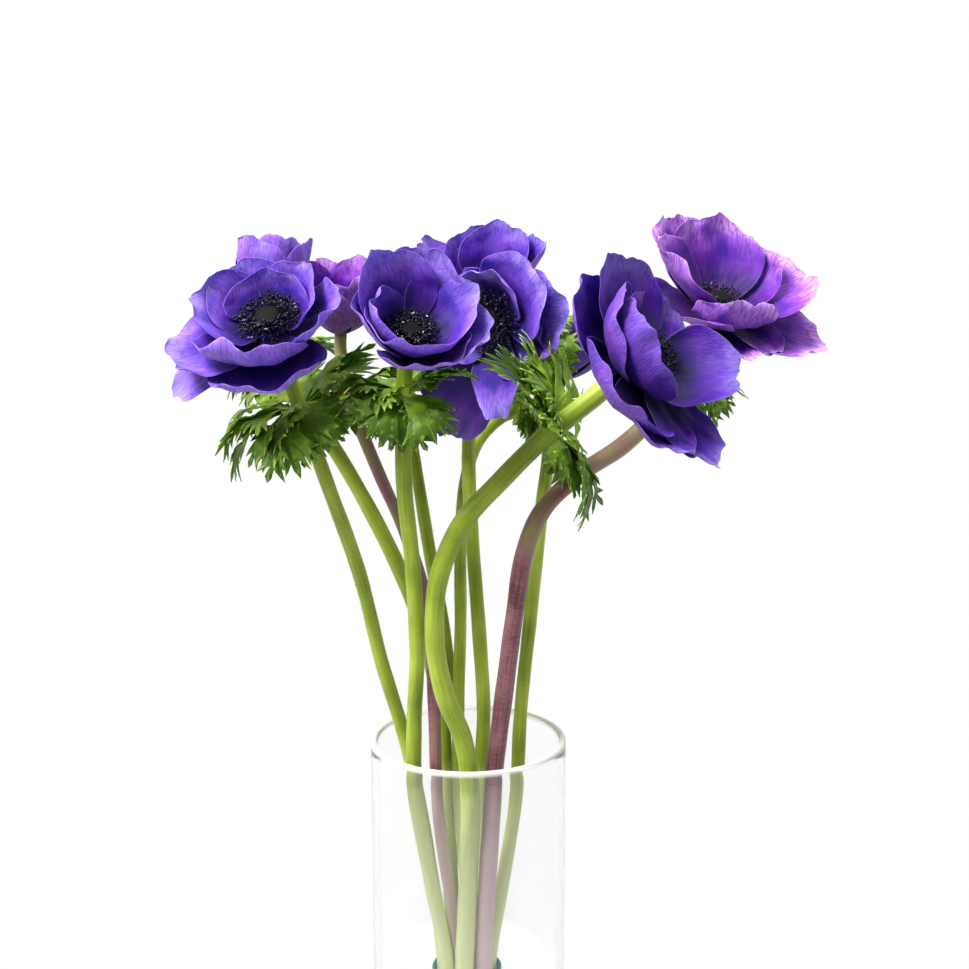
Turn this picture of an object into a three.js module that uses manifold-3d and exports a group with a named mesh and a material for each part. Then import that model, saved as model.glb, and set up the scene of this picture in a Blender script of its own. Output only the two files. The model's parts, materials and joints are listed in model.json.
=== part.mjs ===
import * as THREE from 'three';
import { mergeVertices } from 'three/addons/utils/BufferGeometryUtils.js';
import Module from 'manifold-3d';

// Ten cut anemones in a clear glass cylinder vase. Millimetres, +Z up,
// origin at the centre of the vase's underside.

// Driving dimensions
const gap = 0.3; // clearance where one piece rests on another
const vase = { radius: 45, height: 200, wall: 3, floor: 10, sides: 24 };
const band = { inner: 15.4, thick: 1.1, low: 81, high: 87, sides: 20 };
const footHeight = vase.floor + gap;
const tieHeight = (band.low + band.high) / 2;
const tieCentre = [-1, -1];
const stemSides = 6;
const stemStep = 28; // the longest straight stretch in a stem
const petalThick = 0.9;
const leafThick = 0.8;
const petalRows = [0, 0.36, 0.72, 1]; // shares of a petal's length
const openColumns = [-1, -0.4, 0.4, 1]; // shares of its half width
const cuppedColumns = [-1, 0, 1];
const widest = 0.6; // the share of a petal's length where it is widest
const rootRadius = 5.2; // where the petals leave the seat
const seatRadius = 6.2;
const seatHeight = 3;
const seatSides = 6;
const layerInset = 0.8; // every second petal starts this much further in
const layerRise = 1.4; // and this much higher
const domeRadius = 5.8;
const stamenRoot = 2.6; // inside the dome
const stamenCount = 5;
const stamenReach = [9, 11.5]; // the shortest and the longest
const petioleHalf = 1.6; // half the width of a leaf where it leaves the stem

// Every flower. foot and neck are the stem's radii at its ends. ring is its bearing in the
// bundle, and inner gives the place of a stem in the middle of it. From the tie the stem
// follows the route's points to at, where the bloom sits and looks along face, and its whorl
// of three cut leaves grows at drop below that. All places are in mm, all angles in degrees.
// petal: [bearing, length, width, lift at root, middle and tip, wrap round the bowl, wave]
// leaf: [bearing, length, width, lift at root and tip]
const flowers = [
  {
    name: '1', foot: 3.3, neck: 3.2, ring: 174, drop: 36,
    face: [-0.15, -0.62, 0.77], at: [-78, -51, 390],
    route: [
      [-18, 3, 134], [-24, 0, 174], [-30, -4, 204], [-39, -11, 240], [-47, -22, 282], [-59, -41, 328],
    ],
    petals: [
      [-90, 38, 44, -14, 2, 70, 0.7, 2.5], [-104, 42, 42, -6, 34, 104, 0.7, 3],
      [-22, 36, 34, 10, 36, 58, 0.7, 2], [36, 28, 32, 12, 46, 68, 0.8, 1.5],
      [126, 29, 36, 14, 42, 60, 0.8, 1.5], [84, 23, 36, 6, 50, 86, 0.8, 1.5],
      [-160, 38, 32, 2, 6, 30, 0.7, 2], [172, 31, 36, 14, 38, 56, 0.7, 2],
      [-157, 43, 20, -6, -18, -28, 0.6, 1],
    ],
    leaves: [[-106, 36, 42, -8, -80], [25, 42, 42, 45, 10], [172, 44, 42, 20, -25]],
  },
  {
    name: '2', foot: 4, neck: 3.6, ring: 130, drop: 26, cupped: true,
    face: [0.1, 0.15, 0.98], at: [-92, 30, 394],
    route: [
      [-11, 13, 178], [-13, 15, 205], [-20, 19, 240], [-33, 23, 275], [-52, 28, 312], [-72, 30, 346],
    ],
    petals: [
      [-120, 33, 28, 30, 72, 84, 0.9, 1.5], [-60, 33, 28, 40, 78, 86, 0.9, 1.5],
      [-5, 36, 22, 30, 74, 88, 0.9, 1], [60, 32, 28, 40, 78, 88, 0.9, 1.5],
      [120, 32, 30, 30, 70, 84, 0.9, 1.5], [180, 32, 28, 40, 74, 80, 0.9, 1.5],
    ],
    leaves: [[-100, 34, 36, 10, -50], [20, 34, 36, 20, -40], [140, 34, 36, 10, -45]],
  },
  {
    name: '3', foot: 3, neck: 2.9, inner: [-3.3, 1.2], drop: 28, cupped: true,
    face: [0.05, -0.3, 0.95], at: [-56, 4, 386],
    route: [[-14, -1, 163], [-16, 1, 218], [-19, 5, 262], [-29, 6, 296], [-40, 6, 322], [-51, 5, 352]],
    petals: [
      [-120, 30, 26, 28, 62, 78, 0.9, 2], [-60, 30, 26, 38, 70, 82, 0.9, 2],
      [0, 31, 26, 28, 60, 70, 0.9, 2], [60, 31, 26, 38, 66, 66, 0.9, 2],
      [120, 31, 26, 28, 58, 60, 0.9, 2], [180, 31, 26, 38, 68, 76, 0.9, 2],
    ],
    leaves: [[-90, 34, 36, 0, -70], [20, 34, 36, 20, -30], [150, 32, 36, 10, -50]],
  },
  {
    name: '4', foot: 3.6, neck: 3.5, ring: 214, drop: 24,
    face: [0.18, -0.7, 0.68], at: [-23, -54, 385.5],
    route: [
      [-17, -11, 134], [-24, -15, 180], [-24, -20, 214], [-22, -30, 250], [-23, -40, 290],
      [-26, -47, 330],
    ],
    petals: [
      [-66, 31, 36, 10, 44, 60, 0.8, 2], [-98, 32, 40, 26, 56, 68, 0.8, 2],
      [-12, 32, 38, 16, 38, 52, 0.8, 2], [32, 31, 32, 30, 46, 48, 0.8, 1.5],
      [88, 36, 34, 24, 50, 60, 0.8, 1.5], [130, 36, 34, 30, 52, 58, 0.8, 1.5],
      [176, 29, 36, 26, 48, 60, 0.9, 1.5], [-176, 28, 28, 26, 58, 98, 1, 1.5],
    ],
    leaves: [[-85, 34, 40, -5, -85], [0, 34, 38, 50, 10], [165, 36, 40, 25, -45]],
  },
  {
    name: '5', foot: 3.3, neck: 3.2, ring: 6, drop: 24,
    face: [-0.6, -0.78, -0.05], at: [15, -3, 392],
    route: [[17, -2, 136], [22, 0, 170], [24, 3, 210], [29, 9, 260], [34, 20, 305], [37, 24, 340]],
    petals: [
      [-124, 60, 36, 0, -4, 10, 0.4, 1.5], [-82, 39, 22, 12, 12, 6, 0.9, 1.5],
      [12, 33, 34, 8, 6, 0, 0.6, 2], [40, 34, 36, 20, 18, 6, 0.7, 1.5],
      [-34, 26, 28, 14, 14, 6, 0.6, 2], [80, 25, 32, 12, 38, 58, 0.7, 1.5],
      [140, 22, 30, 20, 20, 10, 0.6, 1.5], [-166, 26, 28, 14, 14, 6, 0.6, 1.5],
    ],
    leaves: [[-60, 30, 34, 10, -50], [60, 30, 34, 10, -30], [180, 26, 30, -10, -60]],
  },
  {
    name: '6', foot: 3.5, neck: 3.3, ring: 45, drop: 24,
    face: [0, -0.4, 0.92], at: [8, 43, 396],
    route: [[5, 6, 169], [7, 8, 208], [5, 13, 245], [2, 22, 285], [0, 32, 325], [2, 40, 360]],
    petals: [
      [-115, 28, 28, 26, 50, 66, 0.9, 1.5], [-60, 28, 28, 36, 58, 72, 0.9, 1.5],
      [2, 38, 32, 26, 56, 70, 0.8, 1.5], [60, 35, 34, 36, 62, 74, 0.8, 1.5],
      [102, 34, 32, 26, 54, 70, 0.8, 1.5], [168, 38, 26, 30, 44, 54, 0.8, 1.5],
    ],
    leaves: [[-90, 28, 34, 30, -10], [30, 28, 34, 30, 0], [150, 26, 32, 30, 0]],
  },
  {
    name: '7', foot: 4.6, neck: 4.3, ring: -96, drop: 46,
    face: [0.6, -0.62, 0.5], at: [69, -46, 376],
    route: [
      [0, -14, 142], [1, -21, 179], [-2, -26, 208], [-10, -31, 231], [-14, -36, 258], [-12, -39, 285],
      [-2, -40, 309], [14, -39, 327], [33, -38, 346], [52, -40, 362],
    ],
    petals: [
      [-124, 50, 46, -14, 26, 74, 0.8, 1.5], [-148, 46, 40, 4, 56, 100, 0.8, 2],
      [-90, 50, 34, -4, 22, 52, 0.7, 2], [-62, 50, 26, 6, 16, 30, 0.7, 2],
      [-16, 40, 40, 14, 50, 62, 0.7, 2], [76, 30, 30, 6, 14, 24, 0.8, 1.5],
      [160, 42, 40, -4, 12, 50, 0.8, 1.5], [120, 42, 36, 4, 18, 36, 0.8, 1.5],
      [174, 42, 38, 0, 44, 90, 0.8, 1.5],
    ],
    leaves: [[-10, 46, 46, 8, -38], [128, 46, 42, 40, 44], [-158, 45, 40, 28, 20]],
  },
  {
    name: '8', foot: 4.4, neck: 4, ring: -39, drop: 28,
    face: [0.22, -0.42, 0.88], at: [110, 17, 392],
    route: [
      [10, -13, 159], [12, -16, 190], [17, -22, 235], [21, -25, 268], [25, -26, 294], [33, -23, 312],
      [50, -13, 326], [70, 0, 337], [92, 10, 358],
    ],
    petals: [
      [-70, 36, 38, -6, 4, 24, 0.7, 3], [-78, 39, 34, -8, 40, 104, 0.7, 3],
      [-22, 46, 40, -2, 2, 14, 0.7, 2], [22, 44, 48, 16, 26, 38, 0.7, 2],
      [62, 39, 36, 14, 44, 60, 0.7, 2], [102, 43, 40, 20, 50, 68, 0.7, 2.5],
      [138, 46, 34, 22, 42, 54, 0.7, 3], [-170, 44, 40, 24, 46, 58, 0.8, 3],
      [-140, 44, 44, 6, 20, 40, 0.7, 3],
    ],
    leaves: [[-60, 34, 36, 0, -40], [60, 34, 36, 10, -30], [180, 34, 36, 0, -60]],
  },
  {
    name: '9', foot: 3.4, neck: 3.1, ring: 86, drop: 24, cupped: true,
    face: [0, 0.1, 1], at: [-31, 56, 370],
    route: [
      [-2, 15, 182], [-8, 23, 216], [-13, 30, 250], [-18, 36, 275], [-24, 44, 310], [-30, 53, 345],
    ],
    petals: [
      [-108, 30, 30, 26, 66, 82, 0.9, 1.5], [-36, 30, 30, 36, 72, 84, 0.9, 1.5],
      [36, 30, 30, 26, 66, 80, 0.9, 1.5], [108, 30, 30, 36, 72, 78, 0.9, 1.5],
      [180, 30, 30, 44, 76, 86, 0.9, 1.5],
    ],
    leaves: [[-90, 28, 34, 10, -50], [30, 28, 34, 10, -50], [150, 28, 34, 10, -50]],
  },
  {
    name: '10', foot: 3.1, neck: 3, inner: [3.2, 1.8], drop: 24, cupped: true,
    face: [0.3, 0.2, 0.93], at: [44, 72, 358],
    route: [
      [-4, 5, 160], [-5, 12, 204], [-4, 27, 245], [-4, 38, 282], [-2, 47, 310], [5, 56, 330],
      [20, 66, 342],
    ],
    petals: [
      [-108, 32, 30, 26, 58, 78, 0.9, 1.5], [-36, 32, 30, 34, 66, 80, 0.9, 1.5],
      [36, 32, 30, 26, 58, 76, 0.9, 1.5], [108, 32, 30, 34, 64, 76, 0.9, 1.5],
      [180, 32, 30, 40, 70, 84, 0.9, 1.5],
    ],
    leaves: [[-90, 30, 34, 10, -50], [30, 30, 34, 20, -30], [150, 30, 34, 10, -50]],
  },
];

const purpleStems = ['3', '8'];
const mauveBlooms = ['3', '8'];

const wasm = await Module();
wasm.setup();

const radians = (degrees) => (degrees * Math.PI) / 180;
const mix = (a, b, t) => a + (b - a) * t;

// A repeatable draw between 0 and 1 for each seed
function draw(seed) {
  const x = Math.sin(seed * 12.9898) * 43758.5453;
  return x - Math.floor(x);
}

// Closed bodies as manifolds and back
function toManifold(geometry) {
  const bare = geometry.clone();
  bare.deleteAttribute('normal');
  bare.deleteAttribute('uv');
  const merged = mergeVertices(bare, 1e-5);
  return new wasm.Manifold(new wasm.Mesh({
    numProp: 3,
    vertProperties: new Float32Array(merged.attributes.position.array),
    triVerts: new Uint32Array(merged.index.array),
  }));
}

function fromManifold(solid) {
  const mesh = solid.getMesh();
  const geometry = new THREE.BufferGeometry();
  geometry.setAttribute('position', new THREE.BufferAttribute(mesh.vertProperties, 3));
  geometry.setIndex(new THREE.BufferAttribute(mesh.triVerts, 1));
  geometry.computeVertexNormals();
  return geometry;
}

// Joins bodies that grow out of one another, without the crumbs that hang on nothing
function fuse(geometries) {
  let solid = toManifold(geometries[0]);
  for (const geometry of geometries.slice(1)) solid = solid.add(toManifold(geometry));
  const lumps = solid.decompose();
  lumps.sort((a, b) => b.volume() - a.volume());
  return fromManifold(lumps[0]);
}

function indexed(points, faces) {
  const values = points.flatMap((point) => [point.x, point.y, point.z]);
  const geometry = new THREE.BufferGeometry();
  geometry.setAttribute('position', new THREE.Float32BufferAttribute(values, 3));
  geometry.setIndex(faces);
  return geometry;
}

// A body turned about +Z from a profile of radii and heights
function turned(profile, sides) {
  const geometry = new THREE.LatheGeometry(profile.map(([x, y]) => new THREE.Vector2(x, y)), sides);
  geometry.rotateX(Math.PI / 2);
  return geometry;
}

// A closed tube through a row of rings that all have the same number of points
function loft(rings) {
  const sides = rings[0].length;
  const points = rings.flat();
  const faces = [];
  for (let i = 0; i < rings.length - 1; i++) {
    for (let j = 0; j < sides; j++) {
      const a = i * sides + j;
      const b = i * sides + ((j + 1) % sides);
      faces.push(a, b, b + sides, a, b + sides, a + sides);
    }
  }
  const last = (rings.length - 1) * sides;
  for (let j = 1; j < sides - 1; j++) {
    faces.push(0, j + 1, j);
    faces.push(last, last + j, last + j + 1);
  }
  return indexed(points, faces);
}

// A round tube along a curve, its radius given for each share of the length
function tube(curve, steps, sides, radiusAt) {
  const frames = curve.computeFrenetFrames(steps, false);
  const rings = [];
  for (let i = 0; i <= steps; i++) {
    const centre = curve.getPointAt(i / steps);
    const radius = radiusAt(i / steps);
    const ring = [];
    for (let j = 0; j < sides; j++) {
      const angle = (j / sides) * 2 * Math.PI;
      ring.push(centre.clone()
        .addScaledVector(frames.normals[i], radius * Math.cos(angle))
        .addScaledVector(frames.binormals[i], radius * Math.sin(angle)));
    }
    rings.push(ring);
  }
  return loft(rings);
}

// A thin closed blade: a grid of points thickened along its normals,
// split into triangles alike on both faces
function sheet(pointAt, ts, ss, thick) {
  const step = 0.01;
  const upper = [];
  const lower = [];
  for (const t of ts) {
    for (const s of ss) {
      const point = pointAt(t, s);
      const along = pointAt(t + step, s).sub(pointAt(t - step, s));
      const across = pointAt(t, s + step).sub(pointAt(t, s - step));
      const normal = along.cross(across).normalize().multiplyScalar(thick / 2);
      upper.push(point.clone().add(normal));
      lower.push(point.clone().sub(normal));
    }
  }
  const rows = ts.length;
  const columns = ss.length;
  const under = rows * columns;
  const faces = [];
  for (let i = 0; i < rows - 1; i++) {
    for (let j = 0; j < columns - 1; j++) {
      const a = i * columns + j;
      const b = a + 1;
      const c = a + columns + 1;
      const d = a + columns;
      if (j < (columns - 1) / 2) {
        faces.push(a, d, b, b, d, c);
        faces.push(under + a, under + b, under + d, under + b, under + c, under + d);
      } else {
        faces.push(a, d, c, a, c, b);
        faces.push(under + a, under + c, under + d, under + a, under + b, under + c);
      }
    }
  }
  const rim = [];
  for (let j = 0; j < columns; j++) rim.push(j);
  for (let i = 1; i < rows; i++) rim.push(i * columns + columns - 1);
  for (let j = columns - 2; j >= 0; j--) rim.push((rows - 1) * columns + j);
  for (let i = rows - 2; i > 0; i--) rim.push(i * columns);
  for (let k = 0; k < rim.length; k++) {
    const a = rim[k];
    const b = rim[(k + 1) % rim.length];
    faces.push(a, b, under + b, a, under + b, under + a);
  }
  return indexed([...upper, ...lower], faces);
}

// Along and up from a root, after a share t of a length whose lift changes smoothly
function arch(length, lifts, t) {
  const steps = 24;
  const middle = 2 * lifts[1] - (lifts[0] + lifts[2]) / 2;
  let out = 0;
  let up = 0;
  let lift = lifts[0];
  for (let i = 0; i < steps; i++) {
    const u = (t * (i + 0.5)) / steps;
    lift = (1 - u) * (1 - u) * lifts[0] + 2 * u * (1 - u) * middle + u * u * lifts[2];
    out += (length * t * Math.cos(radians(lift))) / steps;
    up += (length * t * Math.sin(radians(lift))) / steps;
  }
  return { out, up, lift: radians(lift) };
}

// A point of a petal, in the bloom's frame with its axis up: t from root to tip, s across.
// Every second petal stands inside its neighbours. At a wrap of 1 it follows the bowl of
// the bloom, and below that it lies flatter.
function petalPoint([bearing, length, width, root, middle, tip, wrap, wave], seed, t, s) {
  const inner = seed % 2;
  const swell = t < widest
    ? 0.1 + 0.9 * Math.sin((Math.PI / 2) * (t / widest))
    : Math.sqrt(Math.max(1 - ((t - widest) / 0.47) ** 2, 0.1));
  const half = (width / 2) * swell;
  const q = s * swell;
  const rounded = t - 0.06 * q * q * t * t * t + 0.035 * Math.sin(7 * q + 9 * seed) * t * t * t * t;
  const rib = arch(length, [root, middle, tip], rounded);
  const ripple = wave * t * t * Math.abs(q) * Math.sin(7 * t + 6 * draw(seed) + (s > 0 ? 2 : 0));
  const frill = 0.6 * wave * t * t * t * Math.sin(6 * q + 6 * draw(seed + 3));
  const proud = 0.12 * half * s * s + ripple + frill;
  const reach = rootRadius - layerInset * inner + rib.out;
  const bend = (half * s * wrap) / reach;
  const out = reach - (reach / wrap) * (1 - Math.cos(bend)) - proud * Math.sin(rib.lift);
  const side = (reach / wrap) * Math.sin(bend);
  const up = gap + petalThick + layerRise * inner + rib.up + proud * Math.cos(rib.lift);
  const angle = radians(bearing);
  return new THREE.Vector3(
    out * Math.cos(angle) - side * Math.sin(angle),
    out * Math.sin(angle) + side * Math.cos(angle),
    up,
  );
}

// The bloom's seat with its petals grown to it
function makeBloom(flower, number) {
  const seat = turned([
    [0, gap], [3.6, gap], [seatRadius, gap + 1.6], [seatRadius - 0.8, gap + seatHeight],
    [0, gap + seatHeight],
  ], seatSides);
  const columns = flower.cupped ? cuppedColumns : openColumns;
  const petals = flower.petals.map((petal, i) => {
    const seed = 10 * number + i;
    return sheet((t, s) => petalPoint(petal, seed, t, s), petalRows, columns, petalThick);
  });
  return fuse([seat, ...petals]);
}

// The dark eye: a dome with a ring of stamens standing round it
function makeEye(flower, number) {
  const base = 2 * gap + seatHeight;
  const dome = turned([
    [0, base], [2.6, base], [3.4, base + 2.4], [domeRadius, base + 5], [0.8 * domeRadius, base + 7.2],
    [0, base + 8.2],
  ], seatSides);
  const pieces = [dome];
  const rise = flower.petals.reduce((sum, petal) => sum + petal[4], 0) / flower.petals.length;
  for (let i = 0; i < stamenCount; i++) {
    const angle = ((i + 0.4 * draw(number * 31 + i)) / stamenCount) * 2 * Math.PI;
    const lift = radians(10 + 0.011 * rise * rise + 12 * draw(number * 17 + i));
    const reach = mix(...stamenReach, draw(number * 13 + i));
    const rings = [[0, 0.45], [1, 0.85]].map(([share, radius]) => {
      const out = stamenRoot + reach * share * Math.cos(lift);
      const up = base + stamenRoot + reach * share * Math.sin(lift);
      return [0, 1, 2].map((k) => {
        const turn = (k / 3) * 2 * Math.PI;
        const r = out + radius * Math.cos(turn) * Math.sin(lift);
        const side = radius * Math.sin(turn);
        return new THREE.Vector3(
          r * Math.cos(angle) - side * Math.sin(angle),
          r * Math.sin(angle) + side * Math.cos(angle),
          up - radius * Math.cos(turn) * Math.cos(lift),
        );
      });
    });
    pieces.push(loft(rings));
  }
  return fuse(pieces);
}

// The outline of a leaf cut into five fingers, each with a tip and a tooth on both sides
function leafOutline(length, width, seed) {
  const points = [[0, -petioleHalf]];
  for (const [turn, size] of [[-66, 0.7], [-34, 0.92], [0, 1], [32, 0.94], [66, 0.68]]) {
    const angle = radians(turn + 8 * (draw(seed + turn) - 0.5));
    const reach = 0.82 * length * size;
    const half = (width * size) / 10;
    const whole = [[0.3, -0.4], [0.66, -1.25], [0.62, -0.45], [1, 0], [0.66, 0.45], [0.56, 1.25]];
    const finger = Math.abs(turn) > 50 ? [whole[0], whole[1], whole[3], whole[5]] : whole;
    for (const [share, side] of finger) {
      const x = reach * share * (1 + 0.14 * (draw(seed + 9 * share + side) - 0.5));
      const y = half * side;
      points.push([
        0.18 * length + x * Math.cos(angle) - y * Math.sin(angle),
        x * Math.sin(angle) + y * Math.cos(angle),
      ]);
    }
  }
  points.push([0, petioleHalf]);
  return points;
}

// A leaf bent over its arch, in the stem's frame at the whorl with the stem's way as up
function makeLeaf([bearing, length, width, root, tip], seed, stemRadius) {
  const outline = leafOutline(length, width, seed).map(([x, y]) => new THREE.Vector2(x, y));
  const cut = new THREE.Shape(outline);
  const blade = new THREE.ExtrudeGeometry(cut, { depth: leafThick, bevelEnabled: false });
  const position = blade.attributes.position;
  const angle = radians(bearing);
  for (let i = 0; i < position.count; i++) {
    const x = position.getX(i);
    const y = position.getY(i);
    const rib = arch(length, [root, (root + tip) / 2, tip], x / length);
    const fold = 0.012 * y * y + 1.4 * Math.sin(0.9 * x + 0.7 * y + 6 * draw(seed)) * Math.min(x / 12, 1);
    const proud = position.getZ(i) - leafThick / 2 + fold;
    const out = 0.3 * stemRadius + rib.out - proud * Math.sin(rib.lift);
    position.setXYZ(
      i,
      out * Math.cos(angle) - y * Math.sin(angle),
      out * Math.sin(angle) + y * Math.cos(angle),
      rib.up + proud * Math.cos(rib.lift),
    );
  }
  return blade;
}

// A frame whose +Z looks along a direction and whose +X leans to the vase's +X
function frameAlong(direction) {
  const up = direction.clone().normalize();
  const right = new THREE.Vector3(1, 0, 0).addScaledVector(up, -up.x).normalize();
  return new THREE.Matrix4().makeBasis(right, up.clone().cross(right), up);
}

// Where a stem passes the band, from the middle of the bundle
function tiePoint(flower) {
  if (flower.inner) return new THREE.Vector2(...flower.inner);
  const reach = band.inner - 3 * gap - flower.foot;
  const bearing = radians(flower.ring);
  return new THREE.Vector2(reach * Math.cos(bearing), reach * Math.sin(bearing));
}

function stemCurve(flower) {
  const tie = tiePoint(flower);
  const centre = new THREE.Vector2(...tieCentre);
  const low = centre.clone().addScaledVector(tie, 1.12);
  const high = centre.clone().add(tie);
  const face = new THREE.Vector3(...flower.face).normalize();
  const top = new THREE.Vector3(...flower.at);
  return new THREE.CatmullRomCurve3([
    new THREE.Vector3(low.x, low.y, footHeight),
    new THREE.Vector3(mix(low.x, high.x, 0.6), mix(low.y, high.y, 0.6), mix(footHeight, tieHeight, 0.5)),
    new THREE.Vector3(high.x, high.y, tieHeight - 6),
    new THREE.Vector3(high.x, high.y, tieHeight + 6),
    ...flower.route.map((point) => new THREE.Vector3(...point)),
    top.clone().addScaledVector(face, -9),
    top,
  ], false, 'centripetal');
}

function makeStem(flower, number) {
  const curve = stemCurve(flower);
  const steps = Math.round(curve.getLength() / stemStep);
  const stem = tube(curve, steps, stemSides, (share) => mix(flower.foot, flower.neck, share));
  const position = stem.attributes.position;
  for (let j = 0; j < stemSides; j++) position.setZ(j, footHeight);
  const share = 1 - flower.drop / curve.getLength();
  const whorl = frameAlong(curve.getTangentAt(share)).setPosition(curve.getPointAt(share));
  const leaves = flower.leaves.map((leaf, i) => {
    return makeLeaf(leaf, 20 * number + i, flower.neck).applyMatrix4(whorl);
  });
  return fuse([stem, ...leaves]);
}

function makeVase() {
  const { radius, height, wall, floor } = vase;
  const lip = wall / 2;
  return turned([
    [0, 0], [radius - lip, 0], [radius, lip], [radius, height - 1], [radius - lip, height],
    [radius - wall, height - 1], [radius - wall, floor + 3], [radius - wall - 3, floor], [0, floor],
  ], vase.sides);
}

function makeBand() {
  const { inner, thick, low, high } = band;
  const outer = inner + thick;
  const section = [[inner, low], [outer, low], [outer, high], [inner, high], [inner, low]];
  const loop = turned(section, band.sides);
  loop.translate(...tieCentre, 0);
  return loop;
}

function finish(color, roughness) {
  return new THREE.MeshStandardMaterial({ color, roughness, metalness: 0 });
}

const clearGlass = finish(0xe8f0ee, 0.05);
clearGlass.transparent = true;
clearGlass.opacity = 0.35;
const tealRubber = finish(0x1f9c9c, 0.6);
const greenStem = finish(0x7f9f38, 0.6);
const purpleStem = finish(0x7d4a5c, 0.6);
const violetPetal = finish(0x5a3ab8, 0.7);
const mauvePetal = finish(0x8a55c0, 0.7);
const darkEye = finish(0x17152a, 0.8);

const anemones = new THREE.Group();

function addPiece(parent, name, geometry, material) {
  const mesh = new THREE.Mesh(geometry, material);
  mesh.name = name;
  parent.add(mesh);
}

addPiece(anemones, 'vase', makeVase(), clearGlass);
addPiece(anemones, 'band', makeBand(), tealRubber);
flowers.forEach((flower, number) => {
  const stemFinish = purpleStems.includes(flower.name) ? purpleStem : greenStem;
  const petalFinish = mauveBlooms.includes(flower.name) ? mauvePetal : violetPetal;
  addPiece(anemones, `stem_${flower.name}`, makeStem(flower, number), stemFinish);
  const head = new THREE.Group();
  head.applyMatrix4(frameAlong(new THREE.Vector3(...flower.face)).setPosition(...flower.at));
  addPiece(head, `bloom_${flower.name}`, makeBloom(flower, number), petalFinish);
  addPiece(head, `eye_${flower.name}`, makeEye(flower, number), darkEye);
  anemones.add(head);
});

export default anemones;
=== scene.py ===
import json
import math

import bpy
import numpy as np
from mathutils.geometry import delaunay_2d_cdt
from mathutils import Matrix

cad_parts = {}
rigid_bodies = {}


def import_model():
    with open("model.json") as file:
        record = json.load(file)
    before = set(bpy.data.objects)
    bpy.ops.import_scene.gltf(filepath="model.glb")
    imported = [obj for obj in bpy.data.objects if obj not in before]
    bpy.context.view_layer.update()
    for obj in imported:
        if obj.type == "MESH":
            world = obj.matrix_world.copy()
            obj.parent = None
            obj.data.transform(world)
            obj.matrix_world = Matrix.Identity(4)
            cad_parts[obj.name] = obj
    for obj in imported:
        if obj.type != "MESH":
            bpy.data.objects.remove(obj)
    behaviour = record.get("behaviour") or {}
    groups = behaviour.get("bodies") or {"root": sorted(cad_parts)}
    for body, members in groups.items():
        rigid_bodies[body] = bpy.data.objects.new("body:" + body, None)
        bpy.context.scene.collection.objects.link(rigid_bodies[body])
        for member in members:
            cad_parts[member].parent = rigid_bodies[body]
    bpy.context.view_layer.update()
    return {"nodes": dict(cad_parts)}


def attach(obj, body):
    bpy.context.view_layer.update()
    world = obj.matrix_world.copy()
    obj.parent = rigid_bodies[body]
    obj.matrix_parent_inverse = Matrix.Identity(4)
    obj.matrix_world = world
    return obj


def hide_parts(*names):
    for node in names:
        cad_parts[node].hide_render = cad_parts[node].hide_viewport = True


# Ten cut anemones banded together in a glass cylinder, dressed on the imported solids.
# Shapes are worked out in mm and turned to metres when their mesh is made.

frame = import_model()
mm = 0.001
print("frame loaded,", len(frame["nodes"]), "solids")


def hexColour(code):
    parts = [int(code[i:i + 2], 16) / 255 for i in (1, 3, 5)]
    linear = [c / 12.92 if c <= 0.04045 else ((c + 0.055) / 1.055) ** 2.4 for c in parts]
    return (*linear, 1.0)


# Adds a node: a socket given as a value is linked, anything else is set
def addNode(tree, kind, settings):
    node = tree.nodes.new(kind)
    for name, value in settings.items():
        if name == "stops":
            colours = node.color_ramp.elements
            while len(colours) < len(value):
                colours.new(0.5)
            for element, (place, code) in zip(colours, value):
                element.position = place
                element.color = hexColour(code)
        elif isinstance(value, bpy.types.NodeSocket):
            tree.links.new(value, node.inputs[name])
        elif isinstance(name, int) or name in node.inputs:
            node.inputs[name].default_value = value
        else:
            setattr(node, name, value)
    return node


# The nodes that the materials share, each giving the socket that is used next
def attribute(tree, name):
    return addNode(tree, "ShaderNodeAttribute", {"attribute_name": name}).outputs["Fac"]


def objectPlace(tree):
    return addNode(tree, "ShaderNodeTexCoord", {}).outputs["Object"]


def heightOf(tree, place):
    return addNode(tree, "ShaderNodeSeparateXYZ", {"Vector": place}).outputs["Z"]


def noise(tree, place, size, detail, **more):
    settings = {"Vector": place, "Scale": 1 / size, "Detail": detail, **more}
    return addNode(tree, "ShaderNodeTexNoise", settings).outputs["Fac"]


def cellEdges(tree, place, size):
    settings = {"Vector": place, "Scale": 1 / size, "feature": "DISTANCE_TO_EDGE"}
    return addNode(tree, "ShaderNodeTexVoronoi", settings).outputs["Distance"]


def maths(tree, operation, *values):
    settings = {"operation": operation, **dict(enumerate(values))}
    return addNode(tree, "ShaderNodeMath", settings).outputs[0]


def stretch(tree, place, scales):
    settings = {"operation": "MULTIPLY", 0: place, 1: scales}
    return addNode(tree, "ShaderNodeVectorMath", settings).outputs[0]


def rescale(tree, value, source, target, **more):
    settings = {
        "Value": value, "From Min": source[0], "From Max": source[1],
        "To Min": target[0], "To Max": target[1], **more,
    }
    return addNode(tree, "ShaderNodeMapRange", settings).outputs[0]


def ramp(tree, share, stops):
    return addNode(tree, "ShaderNodeValToRGB", {"Fac": share, "stops": stops}).outputs["Color"]


def blendColour(tree, share, under, over):
    settings = {"data_type": "RGBA", 0: share, 6: under, 7: hexColour(over)}
    return addNode(tree, "ShaderNodeMix", settings).outputs[2]


def relief(tree, height, strength, depth):
    settings = {"Height": height, "Strength": strength, "Distance": depth * mm}
    return addNode(tree, "ShaderNodeBump", settings).outputs["Normal"]


def startMaterial(name):
    material = bpy.data.materials.new(name)
    material.use_nodes = True
    tree = material.node_tree
    tree.nodes.clear()
    return material, tree


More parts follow.
